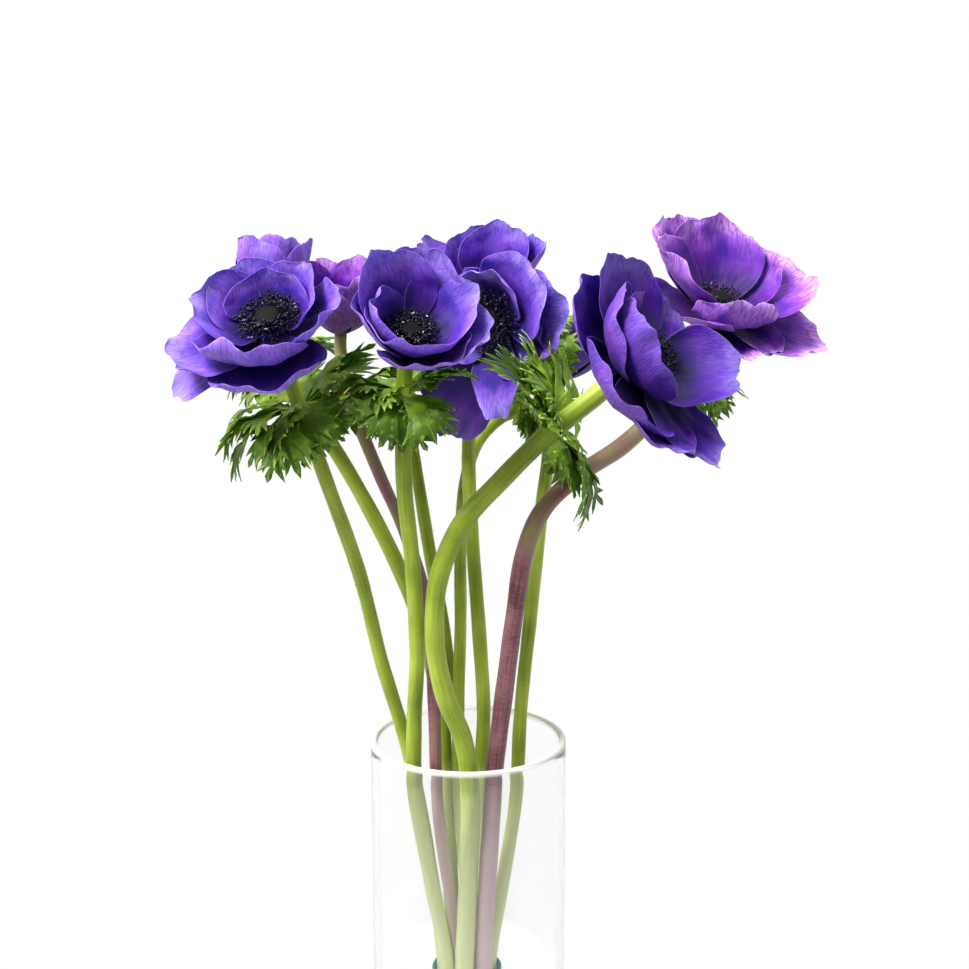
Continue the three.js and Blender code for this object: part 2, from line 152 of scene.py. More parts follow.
def endMaterial(tree, kind, settings):
    shader = addNode(tree, kind, settings)
    addNode(tree, "ShaderNodeOutputMaterial", {"Surface": shader.outputs[0]})


# A bag gathers the parts of one piece: points in mm, faces, the material of each face
# and the marks that its materials read
def newBag():
    return {"points": [], "faces": [], "kinds": [], "marks": {}, "count": 0}


def pour(bag, points, faces, kind=0, **marks):
    points = np.asarray(points, float).reshape(-1, 3)
    bag["points"].append(points)
    bag["faces"] += [tuple(int(v) + bag["count"] for v in face) for face in faces]
    bag["kinds"] += list(kind) if hasattr(kind, "__len__") else [kind] * len(faces)
    for name, values in marks.items():
        column = np.broadcast_to(np.asarray(values, float).ravel(), (len(points),))
        bag["marks"].setdefault(name, []).append((bag["count"], column))
    bag["count"] += len(points)


def makePiece(name, bag, materials, node):
    mesh = bpy.data.meshes.new(name)
    mesh.from_pydata((np.vstack(bag["points"]) * mm).tolist(), [], bag["faces"])
    for material in materials:
        mesh.materials.append(material)
    mesh.polygons.foreach_set("material_index", bag["kinds"])
    mesh.polygons.foreach_set("use_smooth", [True] * len(mesh.polygons))
    for mark, columns in bag["marks"].items():
        values = np.zeros(bag["count"])
        for start, column in columns:
            values[start:start + len(column)] = column
        mesh.attributes.new(mark, "FLOAT", "POINT").data.foreach_set("value", values)
    mesh.update()
    piece = bpy.data.objects.new(name, mesh)
    bpy.context.scene.collection.objects.link(piece)
    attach(piece, "root")
    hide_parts(node)


def gridFaces(rows, columns, closed=False):
    faces = []
    last = columns if closed else columns - 1
    for i in range(rows - 1):
        for j in range(last):
            k = (j + 1) % columns
            faces.append((i * columns + j, (i + 1) * columns + j, (i + 1) * columns + k, i * columns + k))
    return faces


def turnsOf(sides):
    return np.linspace(0, 2 * math.pi, sides, endpoint=False)


# A profile of radii and heights turned about the upright axis
def turnedParts(profile, sides):
    points = np.array([
        [(r * math.cos(a), r * math.sin(a), z) for a in turnsOf(sides)] for r, z in profile
    ])
    return points.reshape(-1, 3), [face[::-1] for face in gridFaces(len(profile), sides, closed=True)]


# A repeatable draw between 0 and 1, the same one that the solids use
def draw(seed):
    value = math.sin(seed * 12.9898) * 43758.5453
    return value - math.floor(value)


# The turn from one carpel or stamen to the next
golden = math.pi * (3 - math.sqrt(5))


def mix(a, b, t):
    return a + (b - a) * t


# The frame that looks along a direction, its first axis leaning to the vase's +X
def frameAlong(direction):
    up = np.asarray(direction, float)
    up = up / np.linalg.norm(up)
    right = np.array([1.0, 0, 0]) - up * up[0]
    right = right / np.linalg.norm(right)
    return np.column_stack([right, np.cross(up, right), up])


# Out and up along a blade whose lift changes smoothly from root to tip
def arch(length, lifts, t):
    t = np.asarray(t, float)
    middle = 2 * lifts[1] - (lifts[0] + lifts[2]) / 2
    out = np.zeros_like(t)
    up = np.zeros_like(t)
    steps = 24
    for i in range(steps):
        u = t * (i + 0.5) / steps
        lift = np.radians((1 - u) ** 2 * lifts[0] + 2 * u * (1 - u) * middle + u * u * lifts[2])
        out = out + length * t * np.cos(lift) / steps
        up = up + length * t * np.sin(lift) / steps
    return out, up, lift


# A round body along a line of centres, with the way out at each point
def tubeParts(centres, radii, sides):
    centres = np.asarray(centres, float)
    tangents = np.gradient(centres, axis=0)
    tangents /= np.linalg.norm(tangents, axis=1)[:, None]
    side = np.cross(tangents[0], [0.3, 0.9, 0.1])
    rings = []
    normals = []
    turns = turnsOf(sides)
    for centre, tangent, radius in zip(centres, tangents, radii):
        side = side - tangent * side.dot(tangent)
        side /= np.linalg.norm(side)
        other = np.cross(tangent, side)
        ray = np.outer(np.cos(turns), side) + np.outer(np.sin(turns), other)
        rings.append(centre + ray * np.reshape(radius, (-1, 1)))
        normals.append(ray)
    count = len(centres)
    points = np.vstack(rings)
    faces = [face[::-1] for face in gridFaces(count, sides, closed=True)]
    faces.append(tuple(range(sides))[::-1])
    faces.append(tuple(range((count - 1) * sides, count * sides)))
    return points, faces, np.vstack(normals)


# The flowers, as the solids have them, in mm and degrees. Of a stem: its radius at the foot and
# at the neck, its bearing in the band's ring or its place inside the others, how far below the
# bloom its leaves sit, the way the bloom faces, the stem's end and the points on its route there.
# Of a petal: bearing, length, width, lift at root, middle and tip, wrap, wave. Of a leaf: bearing,
# length, width, lift at root and tip.
flowers = [
    {
        "name": "1", "foot": 3.3, "neck": 3.2, "ring": 174, "drop": 36,
        "face": (-0.15, -0.62, 0.77), "at": (-78, -51, 390),
        "route": [
            (-18, 3, 134), (-24, 0, 174), (-30, -4, 204), (-39, -11, 240), (-47, -22, 282), (-59, -41, 328),
        ],
        "petals": [
            (-90, 38, 44, -14, 2, 70, 0.7, 2.5), (-104, 42, 42, -6, 34, 104, 0.7, 3),
            (-22, 36, 34, 10, 36, 58, 0.7, 2), (36, 28, 32, 12, 46, 68, 0.8, 1.5),
            (126, 29, 36, 14, 42, 60, 0.8, 1.5), (84, 23, 36, 6, 50, 86, 0.8, 1.5),
            (-160, 38, 32, 2, 6, 30, 0.7, 2), (172, 31, 36, 14, 38, 56, 0.7, 2),
            (-157, 43, 20, -6, -18, -28, 0.6, 1),
        ],
        "leaves": [(-106, 36, 42, -8, -80), (25, 42, 42, 45, 10), (172, 44, 42, 20, -25)],
    },
    {
        "name": "2", "foot": 4, "neck": 3.6, "ring": 130, "drop": 26,
        "face": (0.1, 0.15, 0.98), "at": (-92, 30, 394),
        "route": [
            (-11, 13, 178), (-13, 15, 205), (-20, 19, 240), (-33, 23, 275), (-52, 28, 312), (-72, 30, 346),
        ],
        "petals": [
            (-120, 33, 28, 30, 72, 84, 0.9, 1.5), (-60, 33, 28, 40, 78, 86, 0.9, 1.5),
            (-5, 36, 22, 30, 74, 88, 0.9, 1), (60, 32, 28, 40, 78, 88, 0.9, 1.5),
            (120, 32, 30, 30, 70, 84, 0.9, 1.5), (180, 32, 28, 40, 74, 80, 0.9, 1.5),
        ],
        "leaves": [(-100, 34, 36, 10, -50), (20, 34, 36, 20, -40), (140, 34, 36, 10, -45)],
    },
    {
        "name": "3", "foot": 3, "neck": 2.9, "inner": (-3.3, 1.2), "drop": 28,
        "face": (0.05, -0.3, 0.95), "at": (-56, 4, 386),
        "route": [(-14, -1, 163), (-16, 1, 218), (-19, 5, 262), (-29, 6, 296), (-40, 6, 322), (-51, 5, 352)],
        "petals": [
            (-120, 30, 26, 28, 62, 78, 0.9, 2), (-60, 30, 26, 38, 70, 82, 0.9, 2),
            (0, 31, 26, 28, 60, 70, 0.9, 2), (60, 31, 26, 38, 66, 66, 0.9, 2),
            (120, 31, 26, 28, 58, 60, 0.9, 2), (180, 31, 26, 38, 68, 76, 0.9, 2),
        ],
        "leaves": [(-90, 34, 36, 0, -70), (20, 34, 36, 20, -30), (150, 32, 36, 10, -50)],
    },
    {
        "name": "4", "foot": 3.6, "neck": 3.5, "ring": 214, "drop": 24,
        "face": (0.18, -0.7, 0.68), "at": (-23, -54, 385.5),
        "route": [
            (-17, -11, 134), (-24, -15, 180), (-24, -20, 214), (-22, -30, 250), (-23, -40, 290),
            (-26, -47, 330),
        ],
        "petals": [
            (-66, 31, 36, 10, 44, 60, 0.8, 2), (-98, 32, 40, 26, 56, 68, 0.8, 2),
            (-12, 32, 38, 16, 38, 52, 0.8, 2), (32, 31, 32, 30, 46, 48, 0.8, 1.5),
            (88, 36, 34, 24, 50, 60, 0.8, 1.5), (130, 36, 34, 30, 52, 58, 0.8, 1.5),
            (176, 29, 36, 26, 48, 60, 0.9, 1.5), (-176, 28, 28, 26, 58, 98, 1.0, 1.5),
        ],
        "leaves": [(-85, 34, 40, -5, -85), (0, 34, 38, 50, 10), (165, 36, 40, 25, -45)],
    },
    {
        "name": "5", "foot": 3.3, "neck": 3.2, "ring": 6, "drop": 24,
        "face": (-0.6, -0.78, -0.05), "at": (15, -3, 392),
        "route": [(17, -2, 136), (22, 0, 170), (24, 3, 210), (29, 9, 260), (34, 20, 305), (37, 24, 340)],
        "petals": [
            (-124, 60, 36, 0, -4, 10, 0.4, 1.5), (-82, 39, 22, 12, 12, 6, 0.9, 1.5),
            (12, 33, 34, 8, 6, 0, 0.6, 2), (40, 34, 36, 20, 18, 6, 0.7, 1.5),
            (-34, 26, 28, 14, 14, 6, 0.6, 2), (80, 25, 32, 12, 38, 58, 0.7, 1.5),
            (140, 22, 30, 20, 20, 10, 0.6, 1.5), (-166, 26, 28, 14, 14, 6, 0.6, 1.5),
        ],
        "leaves": [(-60, 30, 34, 10, -50), (60, 30, 34, 10, -30), (180, 26, 30, -10, -60)],
    },
    {
        "name": "6", "foot": 3.5, "neck": 3.3, "ring": 45, "drop": 24,
        "face": (0, -0.4, 0.92), "at": (8, 43, 396),
        "route": [(5, 6, 169), (7, 8, 208), (5, 13, 245), (2, 22, 285), (0, 32, 325), (2, 40, 360)],
        "petals": [
            (-115, 28, 28, 26, 50, 66, 0.9, 1.5), (-60, 28, 28, 36, 58, 72, 0.9, 1.5),
            (2, 38, 32, 26, 56, 70, 0.8, 1.5), (60, 35, 34, 36, 62, 74, 0.8, 1.5),
            (102, 34, 32, 26, 54, 70, 0.8, 1.5), (168, 38, 26, 30, 44, 54, 0.8, 1.5),
        ],
        "leaves": [(-90, 28, 34, 30, -10), (30, 28, 34, 30, 0), (150, 26, 32, 30, 0)],
    },
    {
        "name": "7", "foot": 4.6, "neck": 4.3, "ring": -96, "drop": 46,
        "face": (0.6, -0.62, 0.5), "at": (69, -46, 376),
        "route": [
            (0, -14, 142), (1, -21, 179), (-2, -26, 208), (-10, -31, 231), (-14, -36, 258),
            (-12, -39, 285), (-2, -40, 309), (14, -39, 327), (33, -38, 346), (52, -40, 362),
        ],
        "petals": [
            (-124, 50, 46, -14, 26, 74, 0.8, 1.5), (-148, 46, 40, 4, 56, 100, 0.8, 2),
            (-90, 50, 34, -4, 22, 52, 0.7, 2), (-62, 50, 26, 6, 16, 30, 0.7, 2),
            (-16, 40, 40, 14, 50, 62, 0.7, 2), (76, 30, 30, 6, 14, 24, 0.8, 1.5),
            (160, 42, 40, -4, 12, 50, 0.8, 1.5), (120, 42, 36, 4, 18, 36, 0.8, 1.5),
            (174, 42, 38, 0, 44, 90, 0.8, 1.5),
        ],
        "leaves": [(-10, 46, 46, 8, -38), (128, 46, 42, 40, 44), (-158, 45, 40, 28, 20)],
    },
    {
        "name": "8", "foot": 4.4, "neck": 4, "ring": -39, "drop": 28,
        "face": (0.22, -0.42, 0.88), "at": (110, 17, 392),
        "route": [
            (10, -13, 159), (12, -16, 190), (17, -22, 235), (21, -25, 268), (25, -26, 294),
            (33, -23, 312), (50, -13, 326), (70, 0, 337), (92, 10, 358),
        ],
        "petals": [
            (-70, 36, 38, -6, 4, 24, 0.7, 3), (-78, 39, 34, -8, 40, 104, 0.7, 3),
            (-22, 46, 40, -2, 2, 14, 0.7, 2), (22, 44, 48, 16, 26, 38, 0.7, 2),
            (62, 39, 36, 14, 44, 60, 0.7, 2), (102, 43, 40, 20, 50, 68, 0.7, 2.5),
            (138, 46, 34, 22, 42, 54, 0.7, 3), (-170, 44, 40, 24, 46, 58, 0.8, 3),
            (-140, 44, 44, 6, 20, 40, 0.7, 3),
        ],
        "leaves": [(-60, 34, 36, 0, -40), (60, 34, 36, 10, -30), (180, 34, 36, 0, -60)],
    },
    {
        "name": "9", "foot": 3.4, "neck": 3.1, "ring": 86, "drop": 24,
        "face": (0, 0.1, 1), "at": (-31, 56, 370),
        "route": [
            (-2, 15, 182), (-8, 23, 216), (-13, 30, 250), (-18, 36, 275), (-24, 44, 310), (-30, 53, 345),
        ],
        "petals": [
            (-108, 30, 30, 26, 66, 82, 0.9, 1.5), (-36, 30, 30, 36, 72, 84, 0.9, 1.5),
            (36, 30, 30, 26, 66, 80, 0.9, 1.5), (108, 30, 30, 36, 72, 78, 0.9, 1.5),
            (180, 30, 30, 44, 76, 86, 0.9, 1.5),
        ],
        "leaves": [(-90, 28, 34, 10, -50), (30, 28, 34, 10, -50), (150, 28, 34, 10, -50)],
    },
    {
        "name": "10", "foot": 3.1, "neck": 3, "inner": (3.2, 1.8), "drop": 24,
        "face": (0.3, 0.2, 0.93), "at": (44, 72, 358),
        "route": [
            (-4, 5, 160), (-5, 12, 204), (-4, 27, 245), (-4, 38, 282), (-2, 47, 310), (5, 56, 330),
            (20, 66, 342),
        ],
        "petals": [
            (-108, 32, 30, 26, 58, 78, 0.9, 1.5), (-36, 32, 30, 34, 66, 80, 0.9, 1.5),
            (36, 32, 30, 26, 58, 76, 0.9, 1.5), (108, 32, 30, 34, 64, 76, 0.9, 1.5),
            (180, 32, 30, 40, 70, 84, 0.9, 1.5),
        ],
        "leaves": [(-90, 30, 34, 10, -50), (30, 30, 34, 20, -30), (150, 30, 34, 10, -50)],
    },
]
mauveFlowers = ("3", "8")


# The photo's view, and a white turntable under a white sky
view = {
    "place": (7.4, -650, 440),  # mm from the middle of the vase's foot
    "down": 10.6,               # degrees below level
    "lens": 54.98,              # mm, on a 36 mm sensor
}

camera = bpy.data.objects.new("camera", bpy.data.cameras.new("camera"))
camera.data.sensor_width = 36
camera.data.lens = view["lens"]
camera.data.clip_start = 0.01
camera.location = [value * mm for value in view["place"]]
camera.rotation_euler = (math.radians(90 - view["down"]), 0, 0)
bpy.context.scene.collection.objects.link(camera)
bpy.context.scene.camera = camera
bpy.context.scene.view_settings.view_transform = "Standard"

studio = {
    "sky": "#FFFFFF", "skyStrength": 1.0,
    "roomShade": "#B4B8C0",     # the darker room behind the camera, which the glass mirrors
    "floor": ("#FAFAF9", "#FEFEFD"),
    "floorRadius": 140,         # mm
    "grain": 3.0,               # mm, the paint's faint mottling
    "aim": (0, 0, 360),         # mm, where the lamps point
    # name, place in mm, size in mm, watts
    "lamps": [
        ("keyLamp", (-600, -500, 1250), 500, 34.0),
        ("topLamp", (350, 200, 1500), 600, 8.0),
    ],
}


def makeSky():
    world = bpy.data.worlds.new("whiteStudio")
    world.use_nodes = True
    tree = world.node_tree
    tree.nodes.clear()
    where = addNode(tree, "ShaderNodeTexCoord", {})
    parts = addNode(tree, "ShaderNodeSeparateXYZ", {"Vector": where.outputs["Generated"]})
    behind = rescale(tree, parts.outputs["Y"], (-0.75, -0.25), (0, 1), interpolation_type="SMOOTHSTEP")
    shade = blendColour(tree, behind, hexColour(studio["roomShade"]), studio["sky"])
    # the backdrop stays white from every side
    seen = addNode(tree, "ShaderNodeLightPath", {}).outputs["Is Camera Ray"]
    sky = addNode(tree, "ShaderNodeBackground", {
        "Color": blendColour(tree, seen, shade, studio["sky"]), "Strength": studio["skyStrength"],
    })
    addNode(tree, "ShaderNodeOutputWorld", {"Surface": sky.outputs[0]})
    bpy.context.scene.world = world


def makeLamps():
    for name, place, size, watts in studio["lamps"]:
        lamp = bpy.data.lights.new(name, "AREA")
        lamp.size = size * mm
        lamp.energy = watts
        holder = bpy.data.objects.new(name, lamp)
        holder.location = [value * mm for value in place]
        aim = np.array(studio["aim"]) - np.array(place)
        away = math.atan2(math.hypot(aim[0], aim[1]), -aim[2])
        holder.rotation_euler = (away, 0, math.atan2(aim[1], aim[0]) - math.pi / 2)
        bpy.context.scene.collection.objects.link(holder)


def makeFloor():
    # painted board, rolled matt: pale with the faintest mottling
    material, tree = startMaterial("rolledMattPaint")
    grain = noise(tree, objectPlace(tree), studio["grain"] * mm, 3.0)
    endMaterial(tree, "ShaderNodeBsdfPrincipled", {
        "Base Color": ramp(tree, grain, list(zip((0.35, 0.65), studio["floor"]))), "Roughness": 0.9,
        "Normal": relief(tree, grain, 0.05, 0.1),
    })
    radius = studio["floorRadius"] * mm
    rim = [(radius * math.cos(a), radius * math.sin(a), 0) for a in turnsOf(96)]
    mesh = bpy.data.meshes.new("floor")
    mesh.from_pydata(rim, [], [tuple(range(len(rim)))])
    mesh.materials.append(material)
    floor = bpy.data.objects.new("floor", mesh)
    bpy.context.scene.collection.objects.link(floor)


makeSky()
makeLamps()
makeFloor()
print("studio ready")


# The vase: drawn clear glass with a ground lip and a thick base
vase = {
    "radius": 45, "height": 200, "wall": 3, "floor": 10,
    "heel": 2, "corner": 4,     # mm, rounding of the foot outside and of the floor inside
    "ring": (36, 38.0, 42.6),   # mm, radii of the hollow's slope and of the ring it stands on
    "hollow": 0.4,              # mm, the hollow under the foot
    "sides": 144, "rise": 6,    # mm between rings up the wall
    "glass": "#FFFFFF", "ior": 1.52,
    "smear": 14,                # mm, the size of the faint wiping marks
    "paintedHaze": "#FEFCF4",
    "paintedHazeShare": (0.015, 0.45),      # share of the white painted haze on the wall, and of the painted highlight on the rim
    "lip": (2.8, 1.5),          # mm below the top where the painted rim highlight starts and is whole
}


def makeGlass():
    # soda-lime glass, drawn: clear and hard bright, with faint wiping marks that soften the gloss,
    # a faint white diffuse veil mixed in as painted reflection of the bright room, and a whiter band at the
    # rim as a painted highlight
    material, tree = startMaterial("sodaLimeGlass")
    where = objectPlace(tree)
    smear = noise(tree, where, vase["smear"] * mm, 4.0)
    glass = addNode(tree, "ShaderNodeBsdfPrincipled", {
        "Base Color": hexColour(vase["glass"]), "Transmission Weight": 1.0, "IOR": vase["ior"],
        "Roughness": rescale(tree, smear, (0.4, 0.75), (0.0, 0.035)),
        "Normal": relief(tree, smear, 0.04, 0.3),
    })
    # a white diffuse veil mixed into the glass: painted reflection of the bright room, much whiter in a band
    # at the rim as a painted highlight
    paintedHaze = addNode(tree, "ShaderNodeBsdfDiffuse", {"Color": hexColour(vase["paintedHaze"]), "Roughness": 0.5})
    lip = [(vase["height"] - below) * mm for below in vase["lip"]]
    hazeAmount = rescale(tree, heightOf(tree, where), lip, vase["paintedHazeShare"])
    patchyHaze = maths(tree, "MULTIPLY_ADD", smear, 0.02, hazeAmount)
    endMaterial(tree, "ShaderNodeMixShader", {0: patchyHaze, 1: glass.outputs[0], 2: paintedHaze.outputs[0]})
    return material


def makeVase():
    radius, wall, sides = vase["radius"], vase["wall"], vase["sides"]
    top, low = vase["height"], vase["floor"]
    heel, corner, hollow = vase["heel"], vase["corner"], vase["hollow"]
    inside, start, end = vase["ring"]
    profile = [(0, hollow), (inside, hollow), (start, 0), (end, 0)]
    for turn in np.radians(np.linspace(-90, 0, 7)):
        profile.append((radius - heel + heel * math.cos(turn), heel + heel * math.sin(turn)))
    profile += [(radius, z) for z in np.arange(vase["rise"], top - 3, vase["rise"])]
    for turn in np.radians(np.linspace(0, 180, 13)):
        out, rise = wall / 2 * math.cos(turn), wall / 2 * math.sin(turn)
        profile.append((radius - wall / 2 + out, top - wall / 2 + rise))
    profile += [(radius - wall, z) for z in np.arange(top - 6, low + 6, -vase["rise"])]
    for turn in np.radians(np.linspace(0, -90, 7)):
        inner = radius - wall - corner
        profile.append((inner + corner * math.cos(turn), low + corner + corner * math.sin(turn)))
    profile += [(20, low + 0.1), (8, low + 0.2), (0, low + 0.25)]
    points, faces = turnedParts(profile[1:-1], sides)
    count = len(points)
    points = np.vstack([points, [(0, 0, profile[0][1]), (0, 0, profile[-1][1])]])
    for j in range(sides):
        k = (j + 1) % sides
        faces.append((count, k, j))
        faces.append((count + 1, count - sides + j, count - sides + k))
    bag = newBag()
    pour(bag, points, faces)
    makePiece("vaseGlass", bag, [makeGlass()], "vase")


makeVase()
print("vase blown")


# The rubber band round the stems: a flat cut band, drawn tight
band = {
    "inner": 15.4, "thick": 1.0, "low": 81, "high": 87, "centre": (-1, -1), "sides": 96,
    "corner": 0.3,      # mm, the rounding of its edges
    "sway": 0.25,       # mm, how far it strays from level
    "rubber": ("#147F86", "#2FA6A6"),
    "speck": 1.2,       # mm, the chalky specks on old rubber
}


def makeRubber():
    # natural rubber, cut from a dipped tube: dull and a little chalky, with fine specks
    material, tree = startMaterial("dippedRubber")
    specks = noise(tree, objectPlace(tree), band["speck"] * mm, 5.0)
    endMaterial(tree, "ShaderNodeBsdfPrincipled", {
        "Base Color": ramp(tree, specks, list(zip((0.3, 0.75), band["rubber"]))),
        "Roughness": rescale(tree, specks, (0, 1), (0.45, 0.7)),
        "Normal": relief(tree, specks, 0.3, 0.1),
    })
    return material


def makeBand():
    corner = band["corner"]
    inner = band["inner"] + corner
    outer = band["inner"] + band["thick"] - corner
    low, high = band["low"] + corner, band["high"] - corner
    section = []
    for r, z, start in ((outer, high, 0), (inner, high, 90), (inner, low, 180), (outer, low, 270)):
        for turn in np.radians(np.linspace(start, start + 90, 4)):
            section.append((r + corner * math.cos(turn), z + corner * math.sin(turn)))
    rows = []
    for a in turnsOf(band["sides"]):
        sway = band["sway"] * math.sin(3 * a + 1)
        rows.append([(r * math.cos(a), r * math.sin(a), z + sway) for r, z in section])
    points = np.array(rows).reshape(-1, 3) + np.array([*band["centre"], 0])
    # the last ring is the first one again
    rings = gridFaces(band["sides"] + 1, len(section), closed=True)
    faces = [tuple(v % len(points) for v in face) for face in rings]
    bag = newBag()
    pour(bag, points, faces)
    makePiece("rubberBand", bag, [makeRubber()], "band")


makeBand()
print("band tied")


# The stalks: ridged, downy and a little crooked
stalk = {
    "foot": 0.6, "short": 0.4,      # mm left free over the glass floor, and under the bloom
    "clear": 0.9,                   # mm between a stalk's line and the band, beyond its own radius
    "splay": 1.12,                  # how much wider the feet stand than the band holds them
    "held": 6,                      # mm held upright on both sides of the band's middle
    "neckRun": 9,                   # mm that run straight into the bloom
    "sides": 24, "step": 2.2,       # mm between rings
    "ridges": 9, "ridgeDepth": 0.018,
    "shrink": 0.96,                 # keeps round stalks clear of their neighbours
    "hairs": 700, "hairLength": 0.9, "hairRadius": 0.06,    # mm, drawn thicker than real down
    "streak": (1.3, 22),            # mm, width and length of the lengthwise streaks
    "wrinkle": (6, 1.1),            # mm, length and spacing of the fine wrinkles round the stalk
    "patch": 26,                    # mm, the slow change of colour
    "glassVeil": (184, 80, 0.9),       # mm, where the painted reflection of the glass on the stalk starts, over what length it grows, and its most
    "olive": (285, 350),            # mm, between which heights a purple stalk turns olive
    "down": ("#B9C490", "#D6DCC0"),
    "green": {
        "stops": [(0.32, "#688210"), (0.52, "#94A82E"), (0.72, "#B6C44A")],
        "veiledColour": "#F2FABC", "wrinkled": 0.08, "olive": 0.0,
    },
    "purple": {
        "stops": [(0.43, "#5C3234"), (0.6, "#94606A"), (0.8, "#8E8850")],
        "veiledColour": "#F2D8DA", "wrinkled": 0.2, "olive": 0.2,
    },
}


def makeStalkMaterial(name, looks):
    # fresh plant skin, grown: juicy and satin, streaked along its length, whitened towards its lower end
    # inside the vase as painted reflection of the glass
    material, tree = startMaterial(name)
    along = attribute(tree, "along")
    around = attribute(tree, "around")

    def laidFlat(wide, long):
        return addNode(tree, "ShaderNodeCombineXYZ", {
            "X": maths(tree, "MULTIPLY", around, 1 / wide), "Y": maths(tree, "MULTIPLY", along, 1 / long),
        }).outputs[0]

    streaks = noise(tree, laidFlat(*stalk["streak"]), 1.0, 3.0)
    wrinkles = noise(tree, laidFlat(*stalk["wrinkle"]), 1.0, 2.0, Distortion=0.5)
    where = objectPlace(tree)
    patches = noise(tree, where, stalk["patch"] * mm, 2.0)
    blend = addNode(tree, "ShaderNodeMix", {"data_type": "FLOAT", 0: 0.6, 2: streaks, 3: patches})
    height = heightOf(tree, where)
    olive = rescale(tree, height, [z * mm for z in stalk["olive"]], (-0.03, looks["olive"]))
    raised = maths(tree, "ADD", blend.outputs[0], olive)
    level = maths(tree, "MULTIPLY_ADD", wrinkles, looks["wrinkled"], raised)
    # paler downwards inside the vase: painted reflection of the glass's bright veil on the stalk
    start, run, most = stalk["glassVeil"]
    depth = rescale(tree, height, ((start - run) * mm, start * mm), (1, 0))
    veilShare = maths(tree, "MULTIPLY", maths(tree, "POWER", depth, 0.5), most)
    rough = maths(tree, "MULTIPLY_ADD", wrinkles, 0.8, streaks)
    endMaterial(tree, "ShaderNodeBsdfPrincipled", {
        "Base Color": blendColour(tree, veilShare, ramp(tree, level, looks["stops"]), looks["veiledColour"]),
        "Roughness": rescale(tree, streaks, (0, 1), (0.38, 0.6)), "IOR": 1.4,
        "Sheen Weight": 0.25, "Sheen Roughness": 0.4, "Sheen Tint": hexColour(stalk["down"][1]),
        "Normal": relief(tree, rough, 0.3, 0.25),
    })
    return material


def makeDownMaterial():
    # plant down, grown: pale, dry and soft, catching the light at the stalk's outline
    material, tree = startMaterial("plantDown")
    change = noise(tree, objectPlace(tree), 2 * mm, 1.0)
    endMaterial(tree, "ShaderNodeBsdfPrincipled", {
        "Base Color": ramp(tree, change, list(zip((0.3, 0.7), stalk["down"]))), "Roughness": 0.7,
    })
    return material


# The solids' own stem curve: a centripetal spline through the same points
def stemLine(flower):
    centre = np.array(band["centre"], float)
    if "inner" in flower:
        tie = np.array(flower["inner"], float)
    else:
        reach = band["inner"] - stalk["clear"] - flower["foot"]
        bearing = math.radians(flower["ring"])
        tie = reach * np.array([math.cos(bearing), math.sin(bearing)])
    low = centre + stalk["splay"] * tie
    high = centre + tie
    foot = vase["floor"] + stalk["foot"]
    tieHeight = (band["low"] + band["high"]) / 2
    face = np.array(flower["face"], float)
    face /= np.linalg.norm(face)
    top = np.array(flower["at"], float)
    knots = np.array([
        (*low, foot), (*mix(low, high, 0.6), mix(foot, tieHeight, 0.5)),
        (*high, tieHeight - stalk["held"]), (*high, tieHeight + stalk["held"]),
        *flower["route"], top - stalk["neckRun"] * face, top,
    ], float)
    ends = [2 * knots[0] - knots[1], *knots, 2 * knots[-1] - knots[-2]]
    line = []
    for i in range(len(knots) - 1):
        a, b, c, d = ends[i:i + 4]
        ab, bc, cd = [np.linalg.norm(q - p) ** 0.5 for p, q in ((a, b), (b, c), (c, d))]
        leave = ((b - a) / ab - (c - a) / (ab + bc) + (c - b) / bc) * bc
        arrive = ((c - b) / bc - (d - b) / (bc + cd) + (d - c) / cd) * bc
        for u in np.linspace(0, 1, 24, endpoint=False):
            line.append(
                b + leave * u + (3 * (c - b) - 2 * leave - arrive) * u * u
                + (leave + arrive - 2 * (c - b)) * u ** 3
            )
    line.append(knots[-1])
    line = np.array(line)
    steps = np.linalg.norm(np.diff(line, axis=0), axis=1)
    return line, np.concatenate([[0], np.cumsum(steps)])


def alongLine(line, lengths, distances):
    return np.column_stack([np.interp(distances, lengths, line[:, k]) for k in range(3)])


def makeStalk(flower, number, materials):
    line, lengths = stemLine(flower)
    total = lengths[-1]
    end = total - stalk["short"]
    distances = np.linspace(0, end, int(end / stalk["step"]))
    centres = alongLine(line, lengths, distances)
    turns = turnsOf(stalk["sides"])
    radii = []
    # each stalk wavers a little in thickness and swells at the knuckle that bears its whorl
    for distance in distances:
        base = mix(flower["foot"], flower["neck"], distance / total) * stalk["shrink"]
        wobble = 0.02 * math.sin(distance / 11 + number) + 0.015 * math.sin(distance / 4.3 + 2 * number)
        swelling = 0.10 * math.exp(-((distance - total + flower["drop"]) / 4) ** 2)
        ridge = stalk["ridgeDepth"] * np.sin(stalk["ridges"] * turns + 0.02 * distance + number)
        radii.append(base * (1 + wobble + swelling + ridge))
    points, faces, normals = tubeParts(centres, radii, stalk["sides"])
    around = np.tile(np.abs(((turns / math.pi + 1) % 2) - 1) * math.pi * flower["neck"], len(centres))
    bag = newBag()
    pour(bag, points, faces, 0, along=np.repeat(distances, stalk["sides"]) + 500 * number, around=around)
    # the down: three-sided hairs that lean out of the skin
    rng = np.random.default_rng(40 + number)
    picks = rng.integers(stalk["sides"], len(points) - stalk["sides"], stalk["hairs"])
    for pick in picks:
        lean = normals[pick] + rng.normal(0, 0.35, 3)
        lean /= np.linalg.norm(lean)
        side = np.cross(lean, [0.2, 0.3, 0.9])
        side *= stalk["hairRadius"] / np.linalg.norm(side)
        other = np.cross(lean, side)
        root = points[pick] - 0.1 * normals[pick]
        tip = root + lean * stalk["hairLength"] * rng.uniform(0.6, 1.3)
        corners = [root + side, root - 0.5 * side + 0.87 * other, root - 0.5 * side - 0.87 * other, tip]
        pour(bag, corners, [(0, 1, 3), (1, 2, 3), (2, 0, 3), (2, 1, 0)], 1)
    name = flower["name"]
    makePiece("stalk_" + name, bag, materials, "stem_" + name)


